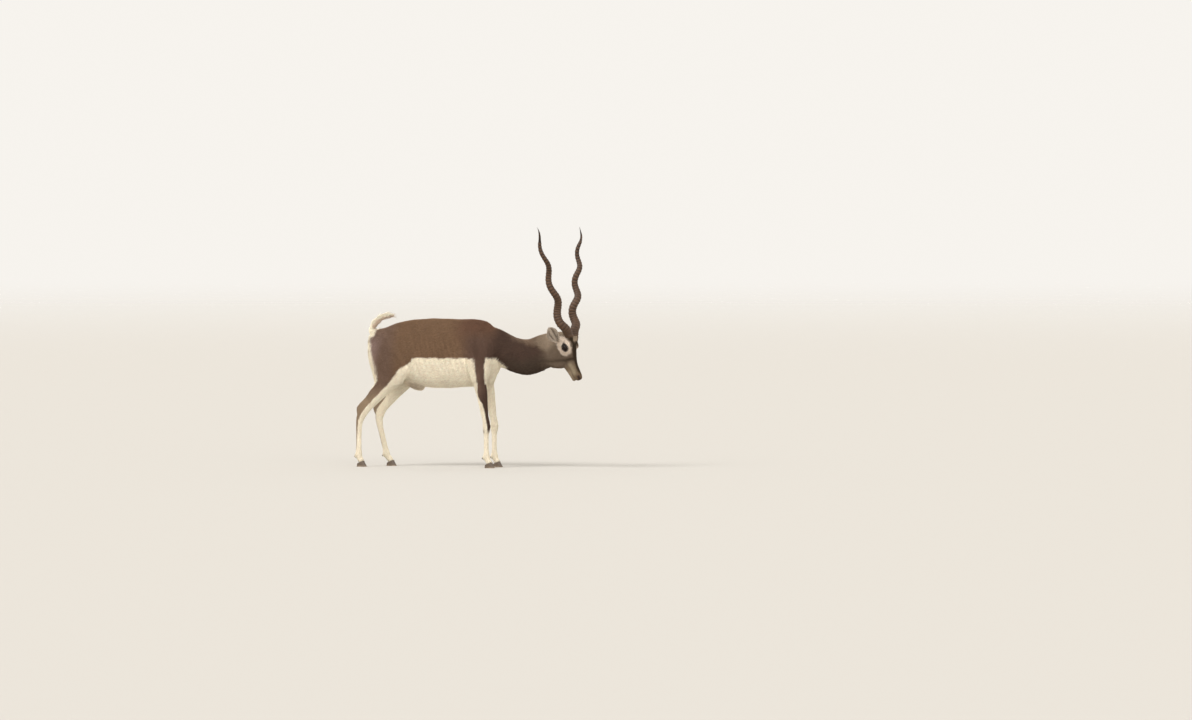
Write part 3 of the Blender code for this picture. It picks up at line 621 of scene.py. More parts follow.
def body_colours(points, facing, wave):
    """Brown above, cream below, white on rump and tail."""
    x, y, z = points.T
    below_middle = np.interp(x, *NECK_MIDDLE) - z
    above_crest = z + wave - np.interp(x, *CREST_EDGE)
    brown = washed(
        FLANK,
        (THIGH_BROWN, faded(-120, -200, x)),
        (SEAT_BROWN, faded(-225, -300, x - 0.3 * (z - 560)) * faded(400, 470, z) * faded(700, 620, z)),
        (WITHERS, faded(120, 230, x) * faded(600, 720, z)),
        (SHOULDER, faded(170, 260, x) * faded(720, 640, z)),
        (ARM_BROWN, faded(540, 460, z) * (x > 150)),
        (SHIN_BROWN, faded(300, 230, z) * (x > 150)),
        (HOCK_FAWN, faded(440, 330, z) * (x < 0)),
        (NECK_BROWN, faded(320, 390, x + 0.25 * (640 - z))),
        (NECK_DARK, faded(400, 470, x) * faded(-10, 50, below_middle)),
        # painted sky light: the top edge of the neck is made paler, as if lit from above
        (CREST_SKY_LIGHT, faded(400, 490, x) * faded(-14, 16, above_crest)),
        (NAPE, faded(548, 636, x) * faded(-16, 26, above_crest)),
    )
    edge = np.interp(x, *BELLY_EDGE) + wave * 0.5
    dark = faded(edge - 4, edge + 4, z)
    leg = brown_leg(points, 0.5 * wave) * ((x > 190) | (x < -60)) * (z < edge + 60)
    neck = faded(418, 432, x) * (z > 380)
    dark = np.maximum(np.maximum(dark, leg), neck)
    turn = round_leg(points, False) + wave * 0.5
    rear = np.interp(np.maximum(z, RUMP_LOW), *THIGH_REAR)
    behind = faded(-264, -280, x - 90 * faded(670, 590, z))
    dark = dark * (1 - faded(rear + 5, rear - 5, turn) * faded(380, 430, z) * behind)
    dark = np.maximum(dark, in_face(points, FACE_BLEND))
    # brownish along the sheath: partly its own colour, partly painted shade of the groin
    cream = laid(CREAM, SHEATH_AND_GROIN_SHADE, near_line(points, SHEATH_LINE, 26))
    tail = laid(cream, TAIL_FAWN, faded(-0.2, 0.4, dots(into_curl(points), facing)))
    return laid(laid(cream, brown, dark), tail, on_tail(points))


def face_colours(points, wave):
    """Grey-brown cheeks, dark stripes, and the pale ring round each eye."""
    head = to_head(points)
    head[:, 1] = np.abs(head[:, 1])
    hx, hy, hz = head.T
    bridge = np.interp(hx, *NOSE_BRIDGE) + 0.6 * wave
    nose = faded(bridge + 4, bridge - 4, hy) * faded(-178, -160, hx) * faded(-2, -40, hx) * faded(0, 14, hz)
    stripe = near_line(head, JAW_STRIPE, 9) * np.interp(hz, (-110, -30, 10), (0.55, 0.75, 1.0))
    brow = faded(-170, -180, hx) * faded(30, 16, hy) * faded(56, 68, hz) * faded(-214, -204, hx)
    ring, u, v, w = lid_ring(head, 1)
    wobble = 0.04 * np.sin(np.arctan2(v, u) * 5 + 1) + 0.03 * np.sin(np.arctan2(v, u) * 9)
    halo = np.hypot((u + 2) / 50, v / np.where(v > 0, 33, 36)) + wobble
    ring_tone = laid(EYE_RING, RING_GREY, faded(4, 44, u - 0.35 * v) * 0.5)
    lids = np.maximum(faded(1.62, 1.30, ring) * (w > -22), near_line(head, GLAND, 2.6) * 0.7)
    pad = ridge(hy, 0, 7) * faded(0, 5, hx) * faded(8, -2, hz)
    pad = np.maximum(pad, near_line(head, NOSTRIL_EDGE, 6.5) * 1.3)
    return washed(
        CHEEK,
        (JAW, faded(-60, -90, hz) * faded(-150, -110, hx)),
        (NAPE, faded(-190, -232, hx + 0.2 * hz) * faded(-90, -30, hz)),
        (MUZZLE, faded(-92, -64, hx)),
        (MUZZLE_SIDE, near_line(head, MUZZLE_LINE, 12) * 0.9),
        (CHIN, faded(-8, -18, hz) * faded(-78, -46, hx)),
        (FACE_DARK, np.maximum(nose, near_line(head, HORN_LINE, 8.5) * 1.3)),
        (FACE_DARK, stripe),
        (BROW, brow),
        (ring_tone, faded(1.12, 0.86, halo) * (w > -22)),
        (EYE_RING, near_line(head, POLL_SPOT, 13) * 0.7),
        (LID_DARK, lids),
        (NOSE_DARK, np.maximum(pad, near_line(head, MOUTH, 2.6) * 0.9)),
        # painted shade: near black in the nostrils' shallow pits, as in a deep opening
        (NOSTRIL_SHADE, near_line(head, NOSTRIL_PIT, 2.4)),
    )


def ear_colours(points, facing, side):
    """Grey-brown behind, and pale with two dark stripes in the cup."""
    t, across, _, opening = ear_place(points, side)
    aside = np.abs(across) / ear_half(t)
    stripes = ridge(aside, 0.42, 0.15) * faded(0.08, 0.2, t) * faded(0.95, 0.75, t)
    edge = faded(0.84, 0.95, aside)
    cup = laid(EAR_WHITE, EAR_STRIPE, stripes * 0.9 + edge * 0.3)
    back = laid(EAR_BACK, EAR_STRIPE, edge * 0.5 + faded(0.85, 1, t) * 0.5)
    return laid(back, cup, faded(-0.1, 0.3, facing @ opening)), in_ear(points, side) * faded(0.0, 0.14, t)


def markings(points, facing):
    """Colour of the coat at points of the drawing."""
    x, y, z = points.T
    wave = 3 * np.sin(x * 0.083 + z * 0.05) + 2 * np.sin(x * 0.19 + y * 0.11)
    colour = washed(
        body_colours(points, facing, wave),
        (face_colours(points, wave), in_face(points, FACE_BLEND)),
        *(ear_colours(points, facing, side) for side in SIDES.values()),
    )
    colour[on_dewclaw(points)] = CLAW_DARK
    return colour * (1 + 0.006 * wave)[:, None]


def painted(piece, colours):
    """Stores one colour for each point as the attribute that the fur's material reads."""
    layer = piece.data.color_attributes.new("coat", "FLOAT_COLOR", "POINT")
    opaque = np.column_stack((colours, np.ones(len(colours))))
    layer.data.foreach_set("color", opaque.astype(np.float32).ravel())


def noted(piece, name, values):
    """Stores one number for each point, for a material to read."""
    layer = piece.data.attributes.new(name, "FLOAT", "POINT")
    layer.data.foreach_set("value", values.astype(np.float32))


skin = drawn(places(hide))
painted(hide, markings(skin, places(hide, "normal")))


# Fur. Each hair is a little glossy, the coat's tone changes from lock to lock, and it has a
# fine grain along the lie, which the material gives where no tuft stands. The hide is painted
# darker than the locks, as painted shade in the gaps between them, and each lock is painted
# darker at its foot and paler on its outer ridge and tip, as painted shade and painted light.

class Tone:
    """A socket of a material's nodes, so that masks and colours can be written as sums."""

    tree = None

    def __init__(self, socket):
        self.socket = socket

    @classmethod
    def node(cls, kind, settings, sockets, out=0):
        made = cls.tree.nodes.new("ShaderNode" + kind)
        for name, value in settings.items():
            setattr(made, name, value)
        for name, value in sockets.items():
            if isinstance(value, Tone):
                cls.tree.links.new(value.socket, made.inputs[name])
            else:
                made.inputs[name].default_value = value
        return cls(made.outputs[out])

    @classmethod
    def maths(cls, operation, first, second):
        return cls.node("Math", {"operation": operation}, {0: first, 1: second})

    def __add__(self, other):
        return Tone.maths("ADD", self, other)

    def __rsub__(self, other):
        return Tone.maths("SUBTRACT", other, self)

    def __mul__(self, other):
        return Tone.maths("MULTIPLY", self, other)

    __radd__, __rmul__ = __add__, __mul__

    def within(self, low, high):
        """0 below low and 1 above high, smooth between."""
        return Tone.node("MapRange", {"interpolation_type": "SMOOTHSTEP"},
                         {"Value": self, "From Min": low, "From Max": high})

    def mixed(self, first, second):
        """first where this mask is 0, second where it is 1."""
        pair = [c if isinstance(c, Tone) else (*c, 1) for c in (first, second)]
        return Tone.node("Mix", {"data_type": "RGBA"}, {0: self, 6: pair[0], 7: pair[1]}, 2)

    def darkened(self, amount):
        """This colour times a number that changes over the surface."""
        return Tone.node("VectorMath", {"operation": "SCALE"}, {0: self, "Scale": amount})

    def length(self):
        return Tone.node("VectorMath", {"operation": "LENGTH"}, {0: self}, 1)


def place_tone():
    """Each point's place on its object, in metres."""
    return Tone.node("TexCoord", {}, {}, 3)


def stored_tone(name, out=2):
    """What a mesh stores for each point: out is 0 for a colour, 1 a vector and 2 a number."""
    return Tone.node("Attribute", {"attribute_name": name}, {}, out)


def material(name, roughness=0.6, coat=0.0, coat_roughness=0.1, specular=0.5):
    made = bpy.data.materials.new(name)
    made.use_nodes = True
    Tone.tree = made.node_tree
    surface = made.node_tree.nodes["Principled BSDF"]
    surface.inputs["Roughness"].default_value = roughness
    surface.inputs["Coat Weight"].default_value = coat
    surface.inputs["Coat Roughness"].default_value = coat_roughness
    surface.inputs["Specular IOR Level"].default_value = specular
    return made, surface


def feed(surface, name, tone):
    Tone.tree.links.new(tone.socket, surface.inputs[name])


def grain(scale, stretch=(1, 1, 1), detail=3.0, where=None, turn=0.0):
    where = where or place_tone()
    if turn:
        where = Tone.node("Mapping", {}, {"Vector": where, "Rotation": (0, turn, 0)})
    spot = Tone.node("Mapping", {}, {"Vector": where, "Scale": stretch})
    return Tone.node("TexNoise", {}, {"Vector": spot, "Scale": scale, "Detail": detail})


def bump(surface, height, distance, strength):
    sockets = {"Height": height, "Distance": distance, "Strength": strength}
    feed(surface, "Normal", Tone.node("Bump", {}, sockets))


HAIRS, FACE_HAIRS = 700.0, 900.0  # how fine the grain of the hair is
ALONG, DOWN, FACE_LONG = (0.10, 1, 1), (1, 1, 0.10), (0.12, 1, 1)
FACE_SLANT = -1.05


def fur_material(name, combed_and_shaded):
    made, surface = material(name, roughness=0.72, specular=0.26)
    coat = stored_tone("coat", 0)
    patches = grain(9.0, detail=2.0)
    tufts = grain(260.0, (0.25, 1, 0.6), 2.0)
    light = 0.84 + 0.18 * patches + 0.14 * tufts
    if combed_and_shaded:
        down, slant = stored_tone("down"), stored_tone("slant")
        hairs = down * grain(HAIRS, DOWN, 2.0) + (1 - down) * grain(HAIRS, ALONG, 2.0)
        hairs = slant * grain(FACE_HAIRS, FACE_LONG, 2.0, turn=FACE_SLANT) + (1 - slant) * hairs
        bump(surface, hairs, 0.0014, 0.9)
        # this factor's mean is about 0.9, so the hide is also painted darker than the locks: painted shade in
        # the gaps between them
        light = light * (0.62 + 0.56 * hairs.within(0.3, 0.7))
    feed(surface, "Base Color", coat.darkened(light))
    return made


hide_fur = fur_material("hide_fur", True)
tuft_fur = fur_material("tuft_fur", False)
hide.data.materials.clear()
hide.data.materials.append(hide_fur)
hide.data.polygons.foreach_set("material_index", np.zeros(len(hide.data.polygons), np.int32))
noted(hide, "slant", in_face(skin))


# The eyes. Large dark brown balls with a clear bulging cornea and a level oval pupil, each
# held by thick dark lids with a wet edge and a row of lashes.

EYE_RADIUS = 17.3
CORNEA = 0.055  # how far it bulges, as a share of the eye's radius
PUPIL_SHAPE = (0.62, 1.35, 0)  # what the pupil's length and height are divided by
RIM_LONG, RIM_HIGH, RIM_RADIUS, RIM_THICK = 15.6, 11.0, 18.7, 1.3
TORUS = 100  # radius of the ring that is bent into a rim
LASH_LONG, LASH_HIGH, LASH_RADIUS = 15.9, 11.3, 18.9
UPPER_LASHES, LOWER_LASHES = (0.18, 2.95, 110), (-0.5, -2.6, 34)  # first and last angle, and number


def seated(piece, side):
    """Moves a piece from the eye's own axes to its socket."""
    spot, along, _, look = eye_frame(side)
    along, look = HEAD_TURN @ along, HEAD_TURN @ look
    turn = Matrix(np.column_stack((along, np.cross(look, along), look))).to_4x4()
    turn.translation = metres(from_head(spot))
    piece.matrix_world = turn
    pick(piece)
    bpy.ops.object.transform_apply()


def finished(piece, look):
    """Smooth, and all of one material."""
    pick(piece)
    bpy.ops.object.shade_smooth()
    piece.data.materials.clear()
    piece.data.materials.append(look)


def on_lids(angle, long, high, radius):
    """Points round the lids, on a ball about the middle of the eye."""
    u = long * np.cos(angle)
    v = high * np.sin(angle) * almond(angle)
    return np.column_stack((u, v, np.sqrt(np.maximum(radius ** 2 - u ** 2 - v ** 2, 1))))


iris, surface = material("eye_ball", roughness=0.07, specular=0.2)
gaze = stored_tone("gaze", 1)
oval = Tone.node("VectorMath", {"operation": "MULTIPLY"}, {0: gaze, 1: PUPIL_SHAPE}).length()
rays = grain(40.0, (1, 1, 1), 4.0, gaze)
brown = rays.within(0.35, 0.7).mixed(shade(40, 24, 14), shade(60, 38, 21))
brown = gaze.length().within(0.50, 0.66).mixed(brown, shade(20, 13, 9))
feed(surface, "Base Color", oval.within(0.30, 0.38).mixed(shade(7, 7, 11), brown))

for word, side in SIDES.items():
    bpy.ops.mesh.primitive_uv_sphere_add(segments=56, ring_count=36, radius=EYE_RADIUS / 1000)
    eye = bpy.context.object
    eye.name = eye.data.name = f"eyeball_{word}"
    ball = places(eye)
    aside = np.hypot(ball[:, 0], ball[:, 1]) * 1000 / EYE_RADIUS
    ball *= (1 + CORNEA * faded(0.72, 0.30, aside) * (ball[:, 2] > 0))[:, None]
    put(eye, ball)
    layer = eye.data.attributes.new("gaze", "FLOAT_VECTOR", "POINT")
    layer.data.foreach_set("vector", (ball * (1, 1, 0) * 1000 / EYE_RADIUS).astype(np.float32).ravel())
    seated(eye, side)
    finished(eye, iris)
    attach(eye, "root")
    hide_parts(f"eye_{word}")

wet, surface = material("lid_edge", roughness=0.35, coat=0.6, coat_roughness=0.15)
feed(surface, "Base Color", grain(300.0).within(0.3, 0.7).mixed(shade(30, 22, 18), shade(58, 43, 36)))
for word, side in SIDES.items():
    bpy.ops.mesh.primitive_torus_add(
        major_segments=80, minor_segments=10, major_radius=TORUS / 1000, minor_radius=RIM_THICK / 1000
    )
    rim = bpy.context.object
    rim.name = rim.data.name = f"lid_edge_{word}"
    loop = places(rim) * 1000
    out = np.hypot(loop[:, 0], loop[:, 1]) - TORUS
    bent = on_lids(np.arctan2(loop[:, 1], loop[:, 0]), RIM_LONG + out, RIM_HIGH + out, RIM_RADIUS)
    put(rim, (bent + loop * (0, 0, 1)) / 1000)
    seated(rim, side)
    finished(rim, wet)
    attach(rim, "root")


BLADE = ((0, 2, 1), (0, 1, 4, 3), (1, 2, 5, 4), (2, 0, 3, 5), (3, 4, 6), (4, 5, 6), (5, 3, 6))
BLADE_LOOPS = np.array([corner for face in BLADE for corner in face])
BLADE_STARTS = np.cumsum([0] + [len(face) for face in BLADE[:-1]])
FOOT_WIDTH = 0.84  # of a blade, as a share of its waist's


def blade_corners(foot, waist, tip, half, thick):
    """Seven corners of a thin three-sided blade: three at its foot, three at its waist, one tip."""
    return np.stack((foot - half * FOOT_WIDTH, foot + half * FOOT_WIDTH, foot + thick,
                     waist - half, waist + half, waist + thick, tip), axis=1)


def blade_mesh(name, corners):
    """Many blades as one joined mesh."""
    count, each = corners.shape[:2]
    mesh = bpy.data.meshes.new(name)
    mesh.vertices.add(count * each)
    mesh.vertices.foreach_set("co", corners.astype(np.float32).ravel())
    loops = (BLADE_LOOPS[None] + each * np.arange(count)[:, None]).astype(np.int32)
    mesh.loops.add(loops.size)
    mesh.loops.foreach_set("vertex_index", loops.ravel())
    starts = (BLADE_STARTS[None] + len(BLADE_LOOPS) * np.arange(count)[:, None]).astype(np.int32)
    mesh.polygons.add(starts.size)
    mesh.polygons.foreach_set("loop_start", starts.ravel())
    mesh.polygons.foreach_set("use_smooth", np.ones(starts.size, bool))
    mesh.update(calc_edges=True)
    piece = bpy.data.objects.new(name, mesh)
    bpy.context.scene.collection.objects.link(piece)
    return piece


lash_hair, surface = material("lash_hair", roughness=0.5)
surface.inputs["Base Color"].default_value = (*shade(24, 18, 15), 1)
rng = np.random.default_rng(5)
for word, side in SIDES.items():
    angle = np.concatenate((np.linspace(*UPPER_LASHES), np.linspace(*LOWER_LASHES)))
    angle += rng.normal(0, 0.02, len(angle))
    foot = on_lids(angle, LASH_LONG, LASH_HIGH, LASH_RADIUS)
    out = unit(foot[:, :2] * (0.6, 1) + rng.normal(0, 1.2, (len(angle), 2)))
    length = np.where(angle > 0, 12.5, 5.0) * (0.55 + 0.45 * np.abs(np.sin(angle)))
    length = (length * rng.uniform(0.8, 1.15, len(angle)))[:, None]
    turned = np.array((1, -side, 1))
    foot = foot * turned
    ahead = np.column_stack((out * 0.55, np.full(len(out), 0.8))) * turned
    curl = np.column_stack((out, np.full(len(out), 0.62))) * turned
    half = unit(np.cross(ahead, curl)) * 0.24
    thick = unit(np.cross(half, ahead)) * 0.3
    corners = blade_corners(foot, foot + ahead * length * 0.5, foot + curl * length * 0.95, half, thick)
    lash = blade_mesh(f"lashes_{word}", corners / 1000)
    seated(lash, side)
    lash.data.materials.append(lash_hair)
    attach(lash, "root")


# The horns. Hard keratin sheaths in an open corkscrew, with close rings for most of their
# length, fine grain along them, crests worn paler, grooves near black as painted shade, and long
# smooth points.

# In metres, but for RING_BOOST, which is a factor.
SHEATH_SKIN = 0.0006  # how far a sheath lies over its solid
ROOT_HEIGHT = 0.012  # where the sheath is left plain
RING_TOP = (0.070, 0.095)  # how far below the tip the rings fade in
RING_BOOST = 1.7  # how much higher the rings are than on the solid
TIP_TAPER = 0.0026
HIGH_FROM, HIGH_OVER = 0.52, 0.72  # above the floor, where the rings' colour weakens


def quads(piece, bend):
    edit(piece, bpy.ops.mesh.tris_convert_to_quads, face_threshold=bend, shape_threshold=1.2)


def rounded(piece):
    round_off = piece.modifiers.new("Round", "SUBSURF")
    round_off.levels = round_off.render_levels = 2
    apply_all(piece)


def uneven(points, stretch, detail):
    """A rough noise at each point."""
    return np.array([noise.fractal(Vector(p) * Vector(stretch), 1.0, 2.0, detail) for p in points])


keratin, surface = material("horn_keratin", roughness=0.5, specular=0.34)
crest = stored_tone("crest")
streak = grain(900.0, (1, 1, 0.035), 3.0)
smear = grain(34.0, (1, 1, 0.4), 3.0)
dusty = smear.within(0.3, 0.75).mixed(shade(62, 42, 27), shade(82, 58, 40))
# where the crest value is low, in the grooves between the rings, the sheath is near black: painted shade
sheath = crest.within(0.2, 0.9).mixed(shade(22, 15, 10), dusty)
sheath = (crest.within(0.7, 1.0) * streak.within(0.3, 0.8) * 0.6).mixed(sheath, shade(114, 85, 60))
feed(surface, "Base Color", sheath.darkened(0.70 + 0.5 * streak))
feed(surface, "Roughness", 0.66 - 0.20 * crest)
bump(surface, streak, 0.0008, 0.7)

for word in SIDES:
    horn = copy_of(f"horn_{word}", f"horn_sheath_{word}")
    quads(horn, 1.2)
    rings, facing = places(horn), places(horn, "normal")
    stand = dots(rings - around(rings, edges_of(horn)), facing)
    below = rings[:, 2].max() - rings[:, 2]
    grow = SHEATH_SKIN + (0.0003 + RING_BOOST * stand) * faded(*RING_TOP, below)
    grow -= TIP_TAPER * faded(0.040, 0.0, below)
    grow = np.where(rings[:, 2] < rings[:, 2].min() + ROOT_HEIGHT, SHEATH_SKIN, grow)
    put(horn, rings + facing * grow[:, None])
    rounded(horn)
    rings, facing, edges = places(horn), places(horn, "normal"), edges_of(horn)
    level = around(around(around(rings, edges), edges), edges)
    stand = dots(rings - level, facing)
    rough = 0.00022 * uneven(rings, (260, 260, 24), 3) + 0.00035 * uneven(rings, (90, 90, 90), 2)
    put(horn, rings + facing * rough[:, None])
    high = faded(0, 1, (rings[:, 2] - HIGH_FROM) / HIGH_OVER)
    noted(horn, "crest", np.clip(0.5 + stand / 0.0006 * (1 - 0.3 * high), 0, 1))
    finished(horn, keratin)
    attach(horn, "root")
    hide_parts(f"horn_{word}")


# The hooves. Two narrow pointed claws to a foot, of dusty grey-brown horn with growth lines
# round them, scuffed at the edge that meets the floor.

SOLE = 0.0004  # below this height, in metres, an edge belongs to the sole

claw_horn, surface = material("hoof_horn", roughness=0.45)
wavy = {"Vector": place_tone(), "Scale": 160.0, "Distortion": 5.0, "Detail": 3.0}
lines = Tone.node("TexWave", {"bands_direction": "Z"}, wavy, 1)
height = Tone.node("SeparateXYZ", {}, {0: place_tone()}, 2)
scuff = (1 - height.within(0.001, 0.010)) * grain(180.0).within(0.35, 0.65)
horny = (0.5 * lines + 0.5 * grain(60.0)).mixed(shade(78, 65, 54), shade(104, 89, 74))
feed(surface, "Base Color", scuff.mixed(horny, shade(150, 131, 110)))
feed(surface, "Roughness", 0.38 + 0.35 * scuff)
bump(surface, 0.5 * lines + grain(500.0, (1, 1, 0.2)), 0.0003, 0.5)

for leg in LEGS:
    for claw in ("left", "right"):
        hoof = copy_of(f"{leg}_claw_{claw}", f"{leg}_hoof_{claw}")
        quads(hoof, 0.9)
        crease = hoof.data.attributes.new("crease_edge", "FLOAT", "EDGE")
        for edge in hoof.data.edges:
            flat = all(hoof.data.vertices[v].co.z < SOLE for v in edge.vertices)
            crease.data[edge.index].value = 0.75 if flat else 0.0
        rounded(hoof)
        finished(hoof, claw_horn)
        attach(hoof, "root")
        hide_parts(f"{leg}_claw_{claw}")


# The coat. Short sleek hair in fine locks that lie back over the trunk, down the legs and up the
# face, longer along the throat, belly line, rump and tail, and smallest on muzzle and feet.
# Every lock is a thin three-sided blade rooted in the hide and coloured by the markings.

LIE = (
    # place on the left side, and the way the hair lies there
    ((300, 50, 715), (-0.85, 0.15, -0.35)),
    ((200, 95, 600), (-1, 0, -0.25)),
    ((60, 100, 620), (-1, 0, -0.2)),
    ((-60, 95, 620), (-1, 0, -0.2)),
    ((-160, 90, 660), (-1, 0, -0.35)),
    ((-250, 85, 640), (-0.7, 0, -0.7)),
    ((-315, 50, 620), (-0.15, 0, -1)),
    ((-290, 75, 500), (-0.15, 0, -1)),
    ((-190, 105, 540), (-0.5, 0, -0.85)),
    ((-110, 90, 460), (-0.7, 0, -0.6)),
    ((0, 60, 425), (-1, 0, 0)),
    ((150, 50, 415), (-1, 0, 0)),
    ((-80, 20, 410), (-1, 0, 0)),
    ((330, 20, 450), (-0.5, 0, -0.9)),
    ((380, 20, 560), (-0.4, 0, -0.9)),
    ((350, 70, 640), (-0.8, 0, -0.5)),
    ((300, 88, 600), (-0.6, 0, -0.8)),
    ((300, 98, 500), (-0.3, 0, -0.95)),
    ((240, 92, 480), (-0.6, 0, -0.7)),
    ((295, 65, 380), (0.1, 0, -1)),
    ((318, 61, 200), (0, 0, -1)),
    ((322, 61, 60), (0.1, 0, -1)),
    ((-200, 78, 440), (-0.55, 0, -0.8)),
    ((-290, 71, 334), (-0.6, 0, -0.8)),
    ((-340, 71, 270), (-0.3, 0, -0.95)),
    ((-355, 70, 200), (0, 0, -1)),
    ((-355, 70, 60), (0.1, 0, -1)),
    ((430, 40, 610), (-1, 0, -0.1)),
    ((430, 20, 510), (-0.9, 0, -0.35)),
    ((520, 40, 590), (-1, 0, -0.12)),
    ((620, 40, 600), (-1, 0, -0.15)),
    ((640, 20, 540), (-0.95, 0, -0.3)),
)
LIE_BLEND = 30.0
# Heights, and the length, width and lift of the locks there; then the same along the head.
LEG_HEIGHTS = (30, 220, 440)
LONG_AT = (30, 60, 220, 330, 440), (5.5, 6.5, 8, 10.5, 14)
WIDE_AT = LEG_HEIGHTS, (0.95, 1.1, 1.75)
LIFT_AT = LEG_HEIGHTS, (0.7, 0.9, 1.9)
FACE_PLACES = (-250, -150, -40, 0)
FACE_LONG_AT = (-250, -180, -100, -40, 0), (12, 8, 6.5, 4.5, 2.4)
FACE_WIDE_AT = FACE_PLACES, (1.5, 1.05, 0.8, 0.55)
FACE_LIFT_AT = FACE_PLACES, (1.6, 0.9, 0.6, 0.35)
SOCKET = 18.8  # radius of the space that the eyeball has to itself
LOCKS = 142000
LOWEST = 0.5  # no lock reaches nearer to the floor
PATCH = np.array(((0, 0), (1, 0), (0.5, 0), (0, 0.5), (1, 0.5), (0.5, 0.5), (0.5, 1))) * 0.003
# painted shade at a lock's foot, painted light along its outer ridge and at its tip
LOCK_SHADE_AND_LIGHT = np.array((0.80, 0.80, 0.84, 1.0, 1.0, 1.03, 1.12))  # tones of a blade's corners


def lie_of(points, facing):
    """The way the hair lies at each point, along the skin."""
    mirror = np.sign(points[:, 1] + 1e-9)
    folded = points * np.column_stack((np.ones(len(points)), mirror, np.ones(len(points))))
    way = np.zeros_like(points)
    for place, lay in LIE:
        near = 1 / (((folded - place) ** 2).sum(1) + LIE_BLEND ** 2) ** 2
        way += near[:, None] * unit(np.array(lay, float))
    way = unit(way)
    way[:, 1] *= mirror
    head = to_head(points)
    cheek = faded(10, -30, head[:, 2])
    flow = np.column_stack((-np.ones(len(points)), 0.12 * np.sign(head[:, 1]), -0.30 * cheek))
    way = laid(way, unit(flow) @ HEAD_TURN.T, in_face(points))
    path = np.array(TAIL_LINE, float)
    nearest = np.argmin(((points[:, None] - path[None]) ** 2).sum(2), axis=1)
    ahead = unit(path[np.minimum(nearest + 1, len(path) - 1)] - path[np.maximum(nearest - 1, 0)])
    way = np.where(on_tail(points)[:, None], ahead + 0.35 * into_curl(points), way)
    for side in SIDES.values():
        t, across, _, opening = ear_place(points, side)
        outward = np.cross(EAR_AXIS[side], opening)
        fan = EAR_AXIS[side] + outward * (across / 60)[:, None]
        way = np.where((in_ear(points, side) & (t > 0.02))[:, None], fan, way)
    return unit(way - facing * dots(way, facing)[:, None])


def lock_size(points, facing):
    """Length, width and lift of the locks, in millimetres."""
    x, y, z = points.T
    head = to_head(points)
    long, wide, lift = (np.interp(z, *at) for at in (LONG_AT, WIDE_AT, LIFT_AT))
    neck = faded(330, 460, x)
    belly = faded(520, 440, z) * faded(-0.1, -0.6, facing[:, 2]) * (z > 380)
    throat = neck * faded(-0.2, -0.8, facing[:, 2])
    brisket = faded(330, 370, x) * faded(420, 400, x) * faded(620, 560, z)
    seat = faded(-240, -290, x) * faded(400, 470, z) * faded(55, 30, np.abs(y))
    hem = ridge(z, 560, 12) * faded(-80, -40, x) * faded(230, 200, x)
    knee = ridge(z, 205, 22) * (x > 250) * faded(40, 80, np.abs(round_leg(points, True) - 60))
    coronet = faded(46, 34, z)
    fetlock = ridge(z, 55, 16) * faded(-20, -70, round_nearer(points))
    for mask, longer, higher in (
        (neck, 2, 0),
        (belly, 5, 1.2),
        (throat, 5, 1.4),
        (brisket, 6, 1.5),
        (seat, 7, 1.2),
        (hem, 2, 0),
        (knee, 1.5, 0),
        (coronet, 4, 0),
        (fetlock, 5, 0.8),
    ):
        long += longer * mask
        lift += higher * mask
    face = in_face(points)
    long = blend(long, np.interp(head[:, 0], *FACE_LONG_AT), face)
    wide = blend(wide, np.interp(head[:, 0], *FACE_WIDE_AT), face)
    lift = blend(lift, np.interp(head[:, 0], *FACE_LIFT_AT), face)
    for side in SIDES.values():
        ring, _, _, w = lid_ring(head, side)
        lid = faded(2.6, 1.3, ring) * (w > 0) * face
        long *= 1 - 0.55 * lid
        wide *= 1 - 0.35 * lid
        lift *= 1 - 0.5 * lid
        t, across, _, opening = ear_place(points, side)
        ear = in_ear(points, side) * faded(0, 0.15, t)
        inner = faded(0.0, 0.3, facing @ opening)
        rim = faded(0.78, 0.95, np.abs(across) / ear_half(t))
        long = blend(long, 7 + 8 * inner * faded(0.9, 0.3, t) + 2 * rim, ear)
        wide = blend(wide, 0.85, ear)
        lift = blend(lift, 0.6 + 2.0 * inner * faded(0.95, 0.4, t) + 1.0 * rim, ear)
    tail = on_tail(points)
    inward = dots(into_curl(points), facing)
    long = np.where(tail, 24 + 14 * faded(700, 765, z), long)
    wide = np.where(tail, 1.8, wide)
    lift = np.where(tail, 4.5 + 9.0 * faded(-0.3, 0.8, inward), lift)
    return long, wide, lift


def bare(points, facing):
    """Where no hair grows: inside eyes, nostrils and mouth, on the dewclaws and under the feet."""
    head = to_head(points)
    none = (points[:, 2] < 40) & (facing[:, 2] < -0.55) | on_dewclaw(points)
    none |= (head[:, 0] > 3) & (np.abs(head[:, 1]) < 6) & (head[:, 2] < 6)
    lips = np.zeros(len(points))
    for side in SIDES.values():
        ring, _, _, w = lid_ring(head, side)
        none |= np.linalg.norm(head - EYE_SPOT * (1, side, 1), axis=1) < SOCKET
        none |= (ring < 1.22) & (w > 0)
        mirrored = head * (1, side, 1)
        none |= near_line(mirrored, NOSTRIL_EDGE, 4) > 0.5
        lips += near_line(mirrored, MOUTH[:3], 1.6)
    return none | (lips > 0.5)


edit(hide, bpy.ops.uv.smart_project, angle_limit=1.15, island_margin=0.002)
hide.data.uv_layers[0].name = "OFBake"

rng = np.random.default_rng(11)
faces = np.empty(len(hide.data.polygons) * 3, np.int32)
hide.data.loops.foreach_get("vertex_index", faces)
faces = faces.reshape(-1, 3)
flat = np.empty(len(faces) * 6, np.float32)
hide.data.uv_layers[0].data.foreach_get("uv", flat)
flat = flat.reshape(-1, 3, 2)
skin, facing = drawn(places(hide)), places(hide, "normal")
noted(hide, "down", np.abs(lie_of(skin, facing)[:, 2]) ** 1.5)

